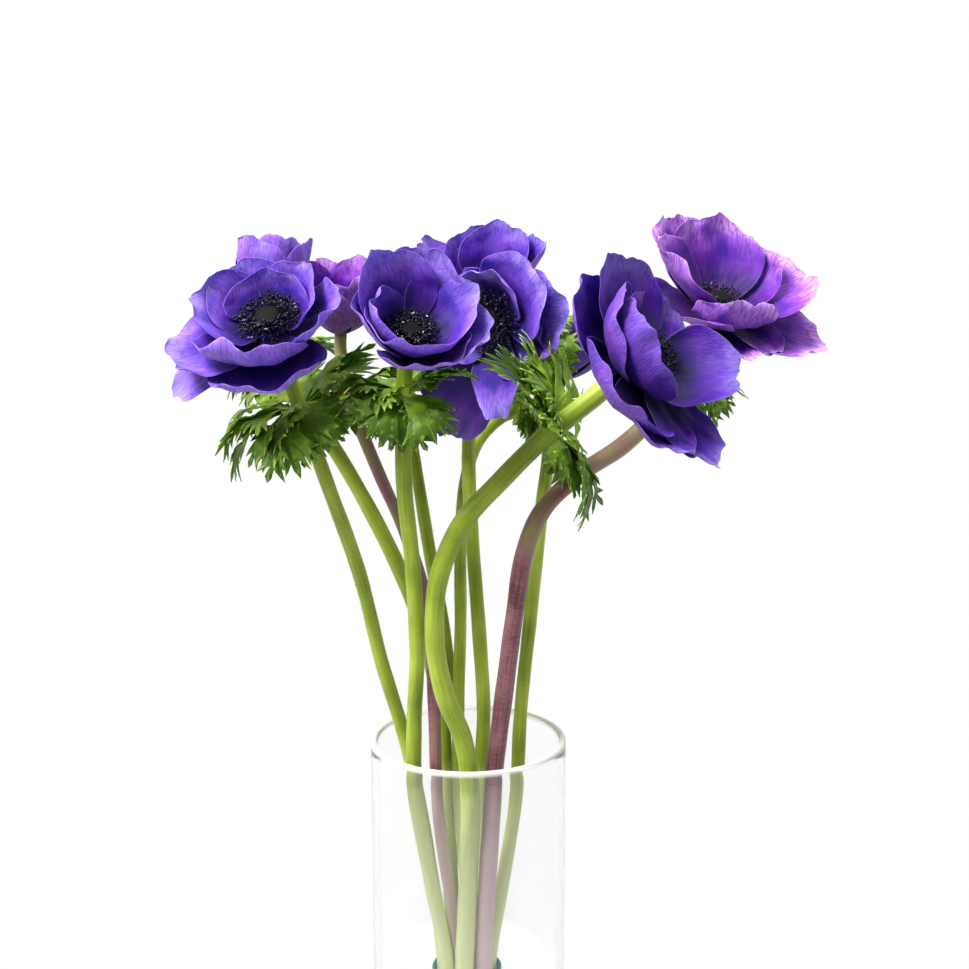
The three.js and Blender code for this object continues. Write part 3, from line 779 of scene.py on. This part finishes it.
downMaterial = makeDownMaterial()
greenSkin = makeStalkMaterial("greenStalkSkin", stalk["green"])
purpleSkin = makeStalkMaterial("purpleStalkSkin", stalk["purple"])
for number, flower in enumerate(flowers):
    skin = purpleSkin if flower["name"] in mauveFlowers else greenSkin
    makeStalk(flower, number, [skin, downMaterial])
print("stalks grown")


# The cut leaves of each whorl: five fingers, cut again into wedges that end in pointed teeth
leaf = {
    # bearing of each finger in degrees, and its share of the leaf's length
    "fingers": [(-66, 0.7), (-34, 0.92), (0, 1), (32, 0.94), (66, 0.68)],
    # the whorl's two layers: degrees turned, share of the size, degrees of lift added
    "layers": [(0, 1, 0), (50, 0.72, -10)],
    "thick": 0.35,
    "hub": 0.16, "finger": 0.84,    # shares of the length up to where the fingers part, and beyond
    "root": 1.7,                # mm, half the width of a finger at the stem
    "half": 3.3,                # mm, half the width of a finger's blade at the hub
    "typical": 40,              # mm, the width of a leaf that has such fingers
    "cuts": (0.44, 0.76),       # where a finger is cut, as shares of its length
    "outerCuts": (0.6,),        # the same on the two outermost fingers
    "lobeCuts": (0.56,),        # the same on a lobe
    # length and width of a lobe, and of a tooth on a finger or on a lobe, over what bears it
    "lobe": (0.5, 0.66), "teeth": [(0.25, 0.4), (0.36, 0.6)],
    "turn": 34,                 # degrees between a lobe and its rib
    "rim": 1.5, "grid": 1.55,   # mm between points on the outline, and inside it
    "ruffle": 0.8,              # mm, how far the blade waves
    "fold": 0.32,               # how steeply the blade rises from its ribs
    "cup": (0.012, 14),         # how much the leaf cups across, and up to how many mm from its middle
    "spread": 15,               # degrees that a finger lifts or drops out of its leaf
    "patch": 6, "cell": 0.8,    # mm, patches of colour and the net of small veins
    "stops": [(0.1, "#46640E"), (0.36, "#7A9C20"), (0.6, "#A8C440"), (0.85, "#D0E268")],
    "rib": "#B4C860",
    "tips": "#6B5A30",
}


def makeLeafMaterial():
    # fresh leaf, grown: thin and satin with a wax bloom, paler on the ribs, darker towards the tips
    material, tree = startMaterial("parsleyCutLeaf")
    where = objectPlace(tree)
    reach = attribute(tree, "reach")
    patches = noise(tree, where, leaf["patch"] * mm, 3.0)
    age = maths(tree, "MULTIPLY_ADD", reach, -0.34, attribute(tree, "tone"))
    tint = ramp(tree, maths(tree, "MULTIPLY_ADD", patches, 0.8, age), leaf["stops"])
    ribMask = rescale(tree, attribute(tree, "rib"), (0.1, 0.55), (0.5, 0))
    ribbed = blendColour(tree, ribMask, tint, leaf["rib"])
    tipMask = rescale(tree, reach, (0.97, 1.1), (0, 0.4))
    height = maths(tree, "MULTIPLY_ADD", ribMask, -1.2, cellEdges(tree, where, leaf["cell"] * mm))
    endMaterial(tree, "ShaderNodeBsdfPrincipled", {
        "Base Color": blendColour(tree, tipMask, ribbed, leaf["tips"]),
        "Roughness": rescale(tree, patches, (0, 1), (0.42, 0.62)), "IOR": 1.4,
        "Subsurface Weight": 0.3, "Subsurface Radius": (0.5, 1.0, 0.15), "Subsurface Scale": 1.2 * mm,
        "Specular IOR Level": 0.35, "Normal": relief(tree, height, 0.35, 0.25),
    })
    return material


# The outline of a lobe from its right root round its tip to its left root: a wedge that
# widens to its last cut, with smaller lobes at its cuts. Their ribs are added to ribs.
def lobeOutline(root, angle, length, half, level, cuts, rng, ribs):
    ahead = np.array([math.cos(angle), math.sin(angle)])
    left = np.array([-ahead[1], ahead[0]])
    tip = root + ahead * length
    ribs.append((root, tip))
    outline = [root - left * half]
    for side, order in ((-1, cuts), (1, cuts[::-1])):
        for share in order:
            last = level == 1 or share > 0.7
            long, wide = leaf["teeth"][level] if last else leaf["lobe"]
            size = length * long
            size *= (1.25 - 0.6 * share) * rng.uniform(0.85, 1.2)
            turn = math.radians(leaf["turn"] * rng.uniform(0.75, 1.25)) * side
            place = share + rng.uniform(-0.05, 0.05)
            seat = root + ahead * place * length + left * side * half * (0.6 + 0.45 * place)
            inner = () if last else leaf["lobeCuts"]
            outline += lobeOutline(
                seat, angle + turn, size, half * wide, 1 if inner else 2, inner, rng, ribs,
            )
        if side == -1:
            shoulder = root + ahead * length * (0.86 if cuts else 0.5)
            outline += [shoulder - left * half * 0.55, tip, shoulder + left * half * 0.55]
    outline.append(root + left * half)
    return outline


# One finger as a flat net of triangles, with its ribs
def cutFinger(length, width, turn, size, rng):
    ribs = []
    angle = math.radians(turn + 8 * (rng.uniform() - 0.5))
    hub = np.array([leaf["hub"] * length, 0.0])
    ribs.append((np.zeros(2), hub))
    cuts = leaf["cuts"] if abs(turn) < 50 else leaf["outerCuts"]
    half = leaf["half"] * width / leaf["typical"]
    lobe = lobeOutline(hub, angle, leaf["finger"] * length * size, half, 0, cuts, rng, ribs)
    outline = np.array([(0, -leaf["root"]), *lobe, (0, leaf["root"])])
    rim = []
    for here, there in zip(outline, np.roll(outline, -1, axis=0)):
        count = max(1, int(np.linalg.norm(there - here) / leaf["rim"]))
        rim += [tuple(mix(here, there, k / count)) for k in range(count)]
    low, high = outline.min(axis=0), outline.max(axis=0)
    inner = []
    for row, x in enumerate(np.arange(low[0], high[0], leaf["grid"])):
        for y in np.arange(low[1] + 0.5 * leaf["grid"] * (row % 2), high[1], leaf["grid"]):
            inner.append((x, y))
    edges = [(i, (i + 1) % len(rim)) for i in range(len(rim))]
    flat, _, faces, _, _, _ = delaunay_2d_cdt(rim + inner, edges, [], 1, 0.02)
    flat = np.array([tuple(v) for v in flat])
    return flat, [tuple(face) for face in faces], np.array(ribs), angle


# Bends a finger with its leaf, folds it along its ribs and lifts it out of the others' plane
def bendFinger(flat, ribs, angle, entry, seed, number, stemRadius):
    bearing, length, width, root, tip = entry
    x, y = flat[:, 0], flat[:, 1]
    out, up, lift = arch(length, [root, (root + tip) / 2, tip], np.maximum(x / length, 0))
    nearest = np.full(len(flat), 1e9)
    for a, b in ribs:
        span = b - a
        share = np.clip((flat - a) @ span / (span @ span), 0, 1)
        nearest = np.minimum(nearest, np.linalg.norm(flat - a - share[:, None] * span, axis=1))
    phase = 6 * draw(seed)
    ease = np.minimum(np.hypot(x, y) / 14, 1)
    hub = leaf["hub"] * length
    run = np.maximum((x - hub) * math.cos(angle) + y * math.sin(angle), 0)
    aside = y * math.cos(angle) - (x - hub) * math.sin(angle)
    rise = math.tan(math.radians(leaf["spread"] * (2 * draw(seed + 11 * number) - 1)))
    twist = 0.5 * (2 * draw(seed + 13 * number) - 1)
    curl = -0.009 * (0.4 + draw(seed + 17 * number))
    own = rise * run * np.exp(-run / 60) + twist * aside * run / length + curl * run * run
    cup = leaf["cup"][0] * np.minimum(np.abs(y), leaf["cup"][1]) ** 2
    ruffle = leaf["ruffle"] * ease * (
        np.sin(0.30 * x + 0.24 * y + 2 * phase + number) + 0.6 * np.sin(0.42 * y - 0.2 * x + 3 * phase)
    )
    proud = cup + ruffle + own + leaf["fold"] * nearest * ease + 0.12 * number
    reach = 0.3 * stemRadius + out - proud * np.sin(lift)
    turn = math.radians(bearing)
    place = np.column_stack([
        reach * math.cos(turn) - y * math.sin(turn), reach * math.sin(turn) + y * math.cos(turn),
        up + proud * np.cos(lift),
    ])
    return place, nearest, np.hypot(x, y) / length


# A thin closed skin on both sides of a surface of triangles
def thicken(points, faces, thick):
    corners = points[np.array(faces)]
    normals = np.cross(corners[:, 1] - corners[:, 0], corners[:, 2] - corners[:, 0])
    total = np.zeros_like(points)
    for k in range(3):
        np.add.at(total, np.array(faces)[:, k], normals)
    total /= np.maximum(np.linalg.norm(total, axis=1), 1e-9)[:, None]
    count = len(points)
    edges = {}
    for face in faces:
        for a, b in zip(face, face[1:] + face[:1]):
            edges[(a, b)] = edges.get((a, b), 0) + 1
    both = [tuple(face) for face in faces]
    both += [tuple(count + v for v in face[::-1]) for face in faces]
    both += [(b, a, count + a, count + b) for a, b in edges if (b, a) not in edges]
    return np.vstack([points + total * thick / 2, points - total * thick / 2]), both


def makeLeaves(flower, number, material):
    line, lengths = stemLine(flower)
    distance = lengths[-1] - flower["drop"]
    centre, before, after = alongLine(line, lengths, [distance, distance - 1, distance + 1])
    turn = frameAlong(after - before)
    bag = newBag()
    for i, entry in enumerate(flower["leaves"]):
        for layer, (swing, size, drop) in enumerate(leaf["layers"]):
            seed = 20 * number + i + 400 * layer
            rng = np.random.default_rng(1000 + seed)
            bearing, length, width, root, tip = entry
            tuned = (bearing + swing, length * size, width * size, root + drop, tip + 0.5 * drop)
            tone = 0.3 * (draw(seed + 7) - 0.4)
            for k, (spread, share) in enumerate(leaf["fingers"]):
                flat, faces, ribs, angle = cutFinger(tuned[1], tuned[2], spread, share, rng)
                place, nearest, reach = bendFinger(flat, ribs, angle, tuned, seed, k, flower["neck"])
                points, both = thicken(place, faces, leaf["thick"])
                points = points @ turn.T + centre
                pour(
                    bag, points, both, 0, rib=np.tile(nearest, 2), reach=np.tile(reach, 2),
                    tone=np.full(len(points), tone + 0.12 * (draw(seed + 3 * k) - 0.5)),
                )
    name = flower["name"]
    makePiece("leaves_" + name, bag, [material], "stem_" + name)


leafMaterial = makeLeafMaterial()
for number, flower in enumerate(flowers):
    makeLeaves(flower, number, leafMaterial)
print("leaves cut")


# The petals: thin velvety sheets, a seat under them
petal = {
    "rows": 40, "columns": 29,
    "thick": 0.34,
    "rootRadius": 5.2, "gap": 0.3, "seatThick": 0.9,    # mm, as on the solid
    # radii and heights of the seat, mm
    "seat": [(0.05, 0.3), (3.0, 0.3), (4.6, 0.8), (5.9, 1.7), (6.0, 2.5), (5.3, 3.1), (0.05, 3.3)],
    "layerInset": 0.8, "layerRise": 1.4,    # mm, how far every second petal stands in and up
    "widest": 0.6,      # where along its length a petal is widest
    "fullness": 1.2,    # the petals' width, over the solid's
    "pleat": 0.42,      # mm, the pleats along the veins
    "frill": 0.6,       # share of each petal's wave that its edge adds
    "crumple": 0.26,    # share of the wave in the small folds that cross each other
    "vein": 1.15,       # mm between the main veins where the petal is widest
    "streak": 0.3,      # mm, the fine streaks between them
    "wrinkle": 0.36,    # mm, the width of the tissue's wrinkles
    "cloud": 9,         # mm, the slow change of colour
    "sway": (8, (1.8, 4.0, 0.0)),   # mm, over which and by which the veins stray from straight lines
    "halfWidth": 17, "reach": 38,   # mm, a middling petal
    # how light each bloom's colour is, and single petals of it; the low drooping petal 5.0 is darkened as
    # painted shade
    "depths": {
        "1": 1.12, "4": 1.08, "5": 1.24, "5.0": 0.3, "6": 0.95, "7": 0.71, "8": 1.1, "10": 0.8,
    },
    # colours from the root to the edge; the inside's darkest stops at the root are partly the petal's own
    # deep colour and partly painted shade of the bowl
    "violet": {
        "inside": [
            (0.0, "#0C042C"), (0.38, "#1A0A4C"), (0.59, "#402488"), (0.78, "#6C4CAE"), (0.96, "#8474C0"),
        ],
        "outside": [
            (0.0, "#5A4C80"), (0.2, "#563C8E"), (0.5, "#6447A2"), (0.8, "#785AB4"), (0.97, "#8E6EC8"),
        ],
        # rim: a painted highlight along each petal's edge, and the sheen's tint; crease: the wrinkles'
        # relief and their painted shade
        "vein": "#2A1070", "outsideVein": "#3E2284", "rim": "#A78CE0", "veinDepth": 0.34, "creaseReliefAndShade": 0.46,
    },
    "mauve": {
        "inside": [
            (0.0, "#0E052C"), (0.38, "#1E0C56"), (0.6, "#4A2090"), (0.8, "#8048AE"), (0.97, "#BE90D6"),
        ],
        "outside": [
            (0.0, "#6A4C8A"), (0.2, "#70479A"), (0.5, "#8454AA"), (0.8, "#9C6CBC"), (0.97, "#B488D0"),
        ],
        # rim: a painted highlight along each petal's edge, and the sheen's tint; crease: the wrinkles'
        # relief and their painted shade
        "vein": "#56186E", "outsideVein": "#682C7C", "rim": "#CBA6E4", "veinDepth": 0.52, "creaseReliefAndShade": 0.58,
    },
}


def makePetalMaterial(name, stops, vein, looks):
    # living petal, grown: velvety and thin, light glowing through it, veined along its length
    # and wrinkled like tissue paper
    material, tree = startMaterial(name)
    along = attribute(tree, "along")
    depth = attribute(tree, "depth")
    # the petal laid flat, in mm
    flat = addNode(tree, "ShaderNodeCombineXYZ", {
        "X": maths(tree, "MULTIPLY", attribute(tree, "across"), petal["halfWidth"]),
        "Y": maths(tree, "MULTIPLY", along, petal["reach"]), "Z": attribute(tree, "seed"),
    }).outputs[0]
    size, amount = petal["sway"]
    sway = addNode(tree, "ShaderNodeTexNoise", {"Vector": flat, "Scale": 1 / size, "Detail": 1.0})
    swayed = addNode(tree, "ShaderNodeVectorMath", {
        "operation": "MULTIPLY_ADD", 0: sway.outputs["Color"], 1: amount, 2: flat,
    }).outputs[0]
    veins = cellEdges(tree, stretch(tree, swayed, (1 / petal["vein"], 0.13 / petal["vein"], 1.0)), 1.0)
    veinMask = rescale(tree, veins, (0.01, 0.15), (1, 0), interpolation_type="SMOOTHSTEP")
    streakPlace = stretch(tree, flat, (1 / petal["streak"], 0.1, 1.0))
    streaks = noise(tree, streakPlace, 1.0, 3.0, Roughness=0.6)
    wrinklePlace = stretch(tree, swayed, (1 / petal["wrinkle"], 0.15 / petal["wrinkle"], 1.0))
    wrinkles = noise(tree, wrinklePlace, 1.0, 3.0, Roughness=0.62, Distortion=0.5)
    clouds = noise(tree, swayed, petal["cloud"], 2.0)
    # from root to edge, darkest at the root partly as painted shade of the bowl, broken up by clouds and
    # streaks that are taken off again on average
    level = maths(tree, "MULTIPLY_ADD", streaks, 0.2, maths(tree, "MULTIPLY_ADD", clouds, 0.42, along))
    tint = ramp(tree, maths(tree, "SUBTRACT", level, 0.31), stops)
    veined = blendColour(tree, maths(tree, "MULTIPLY", veinMask, looks["veinDepth"]), tint, vein)
    # the wrinkles lighten and darken the colour: painted shade and highlight of the tissue's folds
    foldShadeAmount = 0.24 * looks["creaseReliefAndShade"]
    foldShade = rescale(tree, wrinkles, (0.34, 0.66), (1 - foldShadeAmount, 1 + foldShadeAmount))
    foldShadedTint = addNode(tree, "ShaderNodeHueSaturation", {
        "Color": veined, "Value": maths(tree, "MULTIPLY", foldShade, depth),
        "Hue": rescale(tree, clouds, (0.3, 0.7), (0.49, 0.515)),
        "Saturation": rescale(tree, depth, (0.7, 1.2), (1.12, 1)),
    }).outputs[0]
    # a lighter band along the petal's edge, broken by the wrinkles: a painted highlight
    edgeHighlightReach = maths(tree, "MULTIPLY_ADD", wrinkles, 1.6, attribute(tree, "margin"))
    rimHighlightMask = rescale(tree, edgeHighlightReach, (0.5, 1.4), (0.18, 0))
    veinHeight = maths(tree, "MULTIPLY_ADD", veinMask, -0.3, wrinkles)
    height = maths(tree, "MULTIPLY_ADD", streaks, 0.3, veinHeight)
    endMaterial(tree, "ShaderNodeBsdfPrincipled", {
        "Base Color": blendColour(tree, rimHighlightMask, foldShadedTint, looks["rim"]),
        "Roughness": rescale(tree, streaks, (0, 1), (0.45, 0.68)), "IOR": 1.38,
        "Subsurface Weight": 0.3, "Subsurface Radius": (0.6, 0.3, 1.0), "Subsurface Scale": 0.8 * mm,
        "Specular IOR Level": 0.35, "Normal": relief(tree, height, 0.8 * looks["creaseReliefAndShade"], 0.36),
        "Sheen Weight": 0.12, "Sheen Roughness": 0.35, "Sheen Tint": hexColour(looks["rim"]),
    })
    return material


# How wide a petal is at a share of its length, over its widest part
def petalSwell(t):
    near = 0.2 + 0.8 * np.sin(math.pi / 2 * np.minimum(t / petal["widest"], 1))
    beyond = np.clip((t - petal["widest"]) / (1 - petal["widest"]), 0, 1)
    return np.where(t < petal["widest"], near, np.sqrt(1 - beyond ** 2.6))


# A petal's middle surface, t from root to tip and s across, finer at its edge than the solid's
def petalSurface(entry, seed, t, s):
    bearing, length, width, root, middle, tip, wrap, wave = entry
    inner = seed % 2
    swell = petalSwell(t)
    half = width / 2 * petal["fullness"] * swell
    q = s * swell
    rounded = t - 0.06 * q ** 2 * t ** 3 + 0.035 * np.sin(7 * q + 9 * seed) * t ** 4
    rounded = rounded + 0.010 * np.sin(19 * q + 5 * seed) * t ** 6 + 0.005 * np.sin(37 * q + seed) * t ** 9
    out, rise, lift = arch(length, [root, middle, tip], rounded)
    ripple = wave * t ** 2 * np.abs(q) * np.sin(7 * t + 6 * draw(seed) + np.where(s > 0, 2, 0))
    frill = 0.6 * wave * t ** 3 * np.sin(6 * q + 6 * draw(seed + 3))
    edge = petal["frill"] * wave * (
        np.abs(q) ** 3 * t ** 2 * np.sin(17 * t + 9 * draw(seed + 1) + np.where(s > 0, 2.3, 0))
        + 0.8 * t ** 7 * np.sin(11 * q + 6 * draw(seed + 4))
    )
    crumple = petal["crumple"] * wave * t * (
        np.sin(11 * q + 7 * t + 6 * draw(seed + 6)) * np.sin(13 * t - 5 * q + 6 * draw(seed + 7))
    )
    fold = np.abs(np.sin(5.2 * q + 0.8 * np.sin(3 * t + seed) + 5 * draw(seed + 5)))
    pleats = petal["pleat"] * (2 * np.sqrt(fold + 0.02) - 1.3) * np.sin(math.pi * np.minimum(t, 0.85))
    keel = -0.3 * np.exp(-(q / 0.16) ** 2) * np.sin(math.pi * t)
    proud = 0.17 * half * s ** 2 + ripple + frill + edge + crumple + pleats + keel
    reach = petal["rootRadius"] - petal["layerInset"] * inner + out
    bend = half * s * wrap / reach
    away = reach - reach / wrap * (1 - np.cos(bend)) - proud * np.sin(lift)
    side = reach / wrap * np.sin(bend)
    up = petal["gap"] + petal["seatThick"] + petal["layerRise"] * inner + rise + proud * np.cos(lift)
    turn = math.radians(bearing)
    place = np.stack([
        away * math.cos(turn) - side * math.sin(turn), away * math.sin(turn) + side * math.cos(turn), up,
    ], axis=-1)
    return place, np.minimum((1 - t) * length, (1 - np.abs(s)) * half)


def addPetal(bag, entry, seed, depth):
    rows, columns = petal["rows"], petal["columns"]
    # rows and columns stand closer towards the edge
    t = 0.998 * np.sin(np.linspace(0, 1, rows) * math.pi / 2)
    s = np.sin(np.linspace(-1, 1, columns) * math.pi / 2 * 0.9) / math.sin(math.pi / 2 * 0.9)
    t, s = np.meshgrid(t, s, indexing="ij")
    place, margin = petalSurface(entry, seed, t, s)
    step = 0.0015
    along = petalSurface(entry, seed, t + step, s)[0] - petalSurface(entry, seed, t - step, s)[0]
    across = petalSurface(entry, seed, t, s + step)[0] - petalSurface(entry, seed, t, s - step)[0]
    normal = np.cross(along, across)
    normal /= np.maximum(np.linalg.norm(normal, axis=-1), 1e-9)[..., None]
    # thinner towards its tip and its edge
    body = petal["thick"] * (1.5 - t) * (0.55 + 0.45 * np.minimum(margin / 2, 1))
    upper = place + normal * body[..., None] / 2
    lower = place - normal * body[..., None] / 2
    count = rows * columns
    quads = gridFaces(rows, columns)
    faces = list(quads) + [tuple(count + v for v in quad[::-1]) for quad in quads]
    kinds = [0] * len(quads) + [1] * len(quads)
    rim = list(range(columns)) + [i * columns + columns - 1 for i in range(1, rows)]
    rim += [(rows - 1) * columns + j for j in range(columns - 2, -1, -1)]
    rim += [i * columns for i in range(rows - 2, 0, -1)]
    for a, b in zip(rim, rim[1:] + rim[:1]):
        faces.append((a, b, count + b, count + a))
        kinds.append(1)
    # the veins fan out from the root and run off the edge beyond the petal's widest part
    fan = np.where(t < petal["widest"], s, s * petalSwell(t)) * entry[2] / 2 / petal["halfWidth"]
    pour(
        bag, np.concatenate([upper.reshape(-1, 3), lower.reshape(-1, 3)]), faces, kinds,
        along=np.tile(t.ravel(), 2), across=np.tile(fan.ravel(), 2), margin=np.tile(margin.ravel(), 2),
        seed=7.3 * seed, depth=depth,
    )


# Sets parts made with the bloom's axis up on their stem
def placeHead(bag, flower):
    turn = frameAlong(flower["face"]).T
    bag["points"] = [points @ turn + np.array(flower["at"]) for points in bag["points"]]


def makePetals(flower, number, materials):
    bag = newBag()
    name = flower["name"]
    for i, entry in enumerate(flower["petals"]):
        depth = petal["depths"].get(name + "." + str(i), petal["depths"].get(name, 1.0))
        addPetal(bag, entry, 10 * number + i, depth)
    points, faces = turnedParts(petal["seat"], 40)
    pour(bag, points, faces, 1, along=0.0, across=0.0, margin=9.0, seed=1.0 * number, depth=1.0)
    placeHead(bag, flower)
    makePiece("petals_" + name, bag, materials, "bloom_" + name)


petalMaterials = {}
for colour in ("violet", "mauve"):
    looks = petal[colour]
    petalMaterials[colour] = [
        makePetalMaterial(colour + "PetalInside", looks["inside"], looks["vein"], looks),
        makePetalMaterial(colour + "PetalOutside", looks["outside"], looks["outsideVein"], looks),
    ]
for number, flower in enumerate(flowers):
    colour = "mauve" if flower["name"] in mauveFlowers else "violet"
    makePetals(flower, number, petalMaterials[colour])
print("petals opened")


# The eye: a dark dome of packed carpels in a thick ring of stamens
eye = {
    "base": 3.6,                # mm over the stem's end
    # radii and heights of the dome, mm, and its mesh
    "profile": [
        (2.4, 0), (3.6, 1.2), (5.0, 2.8), (6.0, 4.3), (6.2, 5.2), (5.9, 6.2), (4.9, 7.2), (3.4, 7.9),
        (1.6, 8.2), (0.02, 8.3),
    ],
    "rows": 42, "sides": 80,
    "middle": 4.4,              # mm, the height that the carpels point away from
    "carpels": 260, "bump": 0.2,            # mm, how proud each carpel stands
    "stamens": 300, "reach": (6.5, 12.5),   # mm, the innermost and the outermost
    "ring": 2.2, "climb": (1.4, 1.6),       # mm, where they root: out, and up from outer to inner
    "filament": 0.18, "anther": (0.9, 0.45), "speck": 0.6,  # mm; a cream anther is smaller
    "packed": 1.7,              # how far down the dome the carpels go, over its radius
    "wool": 0.35,               # mm
    "dome": [(0.25, "#040404"), (0.7, "#090908"), (1.2, "#151512")],
    "stalks": ("#0C0A1E", "#1C1540"),
    "anthers": ("#06050E", "#141128"),
    "pollen": ("#4A4468", "#8E86A0"),
    "cream": ("#B9A98E", "#E4D8C0"),
    # share of the stamens and of their reach, share of open anthers and whether their pollen
    # is cream, and the blooms whose ring is thinner, smaller or dustier
    "plain": (1, 1, 0.06, False),
    "odd": {
        "4": (0.8, 0.82, 0.09, True), "5": (1, 1.12, 0.06, False), "7": (1.1, 1.1, 0.04, True),
        "8": (0.35, 1.0, 0.03, False),
    },
}


def makeEyeMaterial(name, colours, size, roughness):
    # plant tissue, grown: dry and matt, its colour broken by tiny cells
    material, tree = startMaterial(name)
    cells = noise(tree, objectPlace(tree), size * mm, 3.0)
    endMaterial(tree, "ShaderNodeBsdfPrincipled", {
        "Base Color": ramp(tree, cells, list(zip((0.35, 0.68), colours))), "Roughness": roughness,
        "Specular IOR Level": 0.25, "Normal": relief(tree, cells, 0.4, 0.1),
    })
    return material


def makeDomeMaterial():
    # packed carpels, grown: woolly and dark, greyer on the crown of each one
    material, tree = startMaterial("carpelWool")
    wool = noise(tree, objectPlace(tree), eye["wool"] * mm, 3.0)
    level = maths(tree, "MULTIPLY_ADD", wool, 0.5, attribute(tree, "crown"))
    endMaterial(tree, "ShaderNodeBsdfPrincipled", {
        "Base Color": ramp(tree, level, eye["dome"]), "Roughness": 0.75, "Specular IOR Level": 0.1,
        "Normal": relief(tree, wool, 0.5, 0.15),
    })
    return material


def addDome(bag):
    knots = np.array(eye["profile"], float)
    steps = np.linspace(0, len(knots) - 1, eye["rows"])
    smooth = np.column_stack([np.interp(steps, np.arange(len(knots)), knots[:, k]) for k in range(2)])
    for _ in range(4):
        smooth[1:-1] = 0.25 * smooth[:-2] + 0.5 * smooth[1:-1] + 0.25 * smooth[2:]
    points, faces = turnedParts(smooth, eye["sides"])
    rays = points - np.array([0, 0, eye["middle"]])
    rays /= np.linalg.norm(rays, axis=1)[:, None]
    k = np.arange(eye["carpels"])
    z = 1 - eye["packed"] * (k + 0.5) / eye["carpels"]
    spread = np.sqrt(1 - z * z)
    heads = np.column_stack([spread * np.cos(golden * k), spread * np.sin(golden * k), z])
    close = (rays @ heads.T).max(axis=1)
    width = math.sqrt(2 * eye["packed"] / eye["carpels"])
    crown = np.clip(1 - (2 - 2 * close) / width ** 2, 0, 1)
    proud = eye["bump"] * (crown - 0.5)
    pour(bag, points + rays * proud[:, None] + np.array([0, 0, eye["base"]]), faces, 0, crown=crown)


# The order of the eye's materials, after the dome's own
stamenStalk, closedAnther, openAnther, creamAnther = range(1, 5)


def addStamens(bag, flower, number):
    rng = np.random.default_rng(700 + number)
    rise = np.mean([entry[4] for entry in flower["petals"]])
    fullness, size, dusty, cream = eye["odd"].get(flower["name"], eye["plain"])
    count = int(eye["stamens"] * fullness)
    for i in range(count):
        depth = i / count
        angle = golden * i + rng.normal(0, 0.05)
        lift = math.radians(6 + 0.011 * rise * rise + 34 * depth + rng.normal(0, 5))
        reach = mix(eye["reach"][1], eye["reach"][0], depth) * size * rng.uniform(0.84, 1.04)
        bow = rng.uniform(-0.1, 0.25)
        shares = np.linspace(0, 1, 4)
        lifts = lift + bow * shares ** 2
        out = eye["ring"] + reach * shares * np.cos(lifts)
        up = eye["base"] + eye["climb"][0] + eye["climb"][1] * depth + reach * shares * np.sin(lifts)
        twist = angle + rng.normal(0, 0.06) * shares
        centres = np.column_stack([out * np.cos(twist), out * np.sin(twist), up])
        points, faces, _ = tubeParts(centres, np.linspace(1, 0.7, 4) * eye["filament"], 4)
        pour(bag, points, faces, stamenStalk, crown=0.0)
        kind = closedAnther
        if rng.uniform() < dusty:
            kind = creamAnther if cream else openAnther
        long, wide = np.array(eye["anther"]) * (eye["speck"] if kind == creamAnther else 1)
        axis = centres[-1] - centres[-2] + rng.normal(0, 2.4, 3)
        axis /= np.linalg.norm(axis)
        shares = np.linspace(-1, 1, 5)
        body = centres[-1] + np.outer(shares * long, axis)
        radii = wide * np.sqrt(np.maximum(1 - shares ** 2, 0.08))
        points, faces, _ = tubeParts(body, radii, 6)
        pour(bag, points, faces, kind, crown=0.0)


def makeEye(flower, number, materials):
    bag = newBag()
    addDome(bag)
    addStamens(bag, flower, number)
    placeHead(bag, flower)
    makePiece("stamens_" + flower["name"], bag, materials, "eye_" + flower["name"])


eyeMaterials = [
    makeDomeMaterial(),
    makeEyeMaterial("stamenStalk", eye["stalks"], 0.8, 0.5),
    makeEyeMaterial("closedAnther", eye["anthers"], 0.5, 0.35),
    makeEyeMaterial("openAnther", eye["pollen"], 0.4, 0.7),
    makeEyeMaterial("creamAnther", eye["cream"], 0.4, 0.8),
]
for number, flower in enumerate(flowers):
    makeEye(flower, number, eyeMaterials)
print("eyes set")

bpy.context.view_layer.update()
triangles = sum(
    sum(len(face.vertices) - 2 for face in piece.data.polygons)
    for piece in bpy.context.scene.objects if piece.type == "MESH" and not piece.hide_render
)
print("finished,", triangles, "triangles")
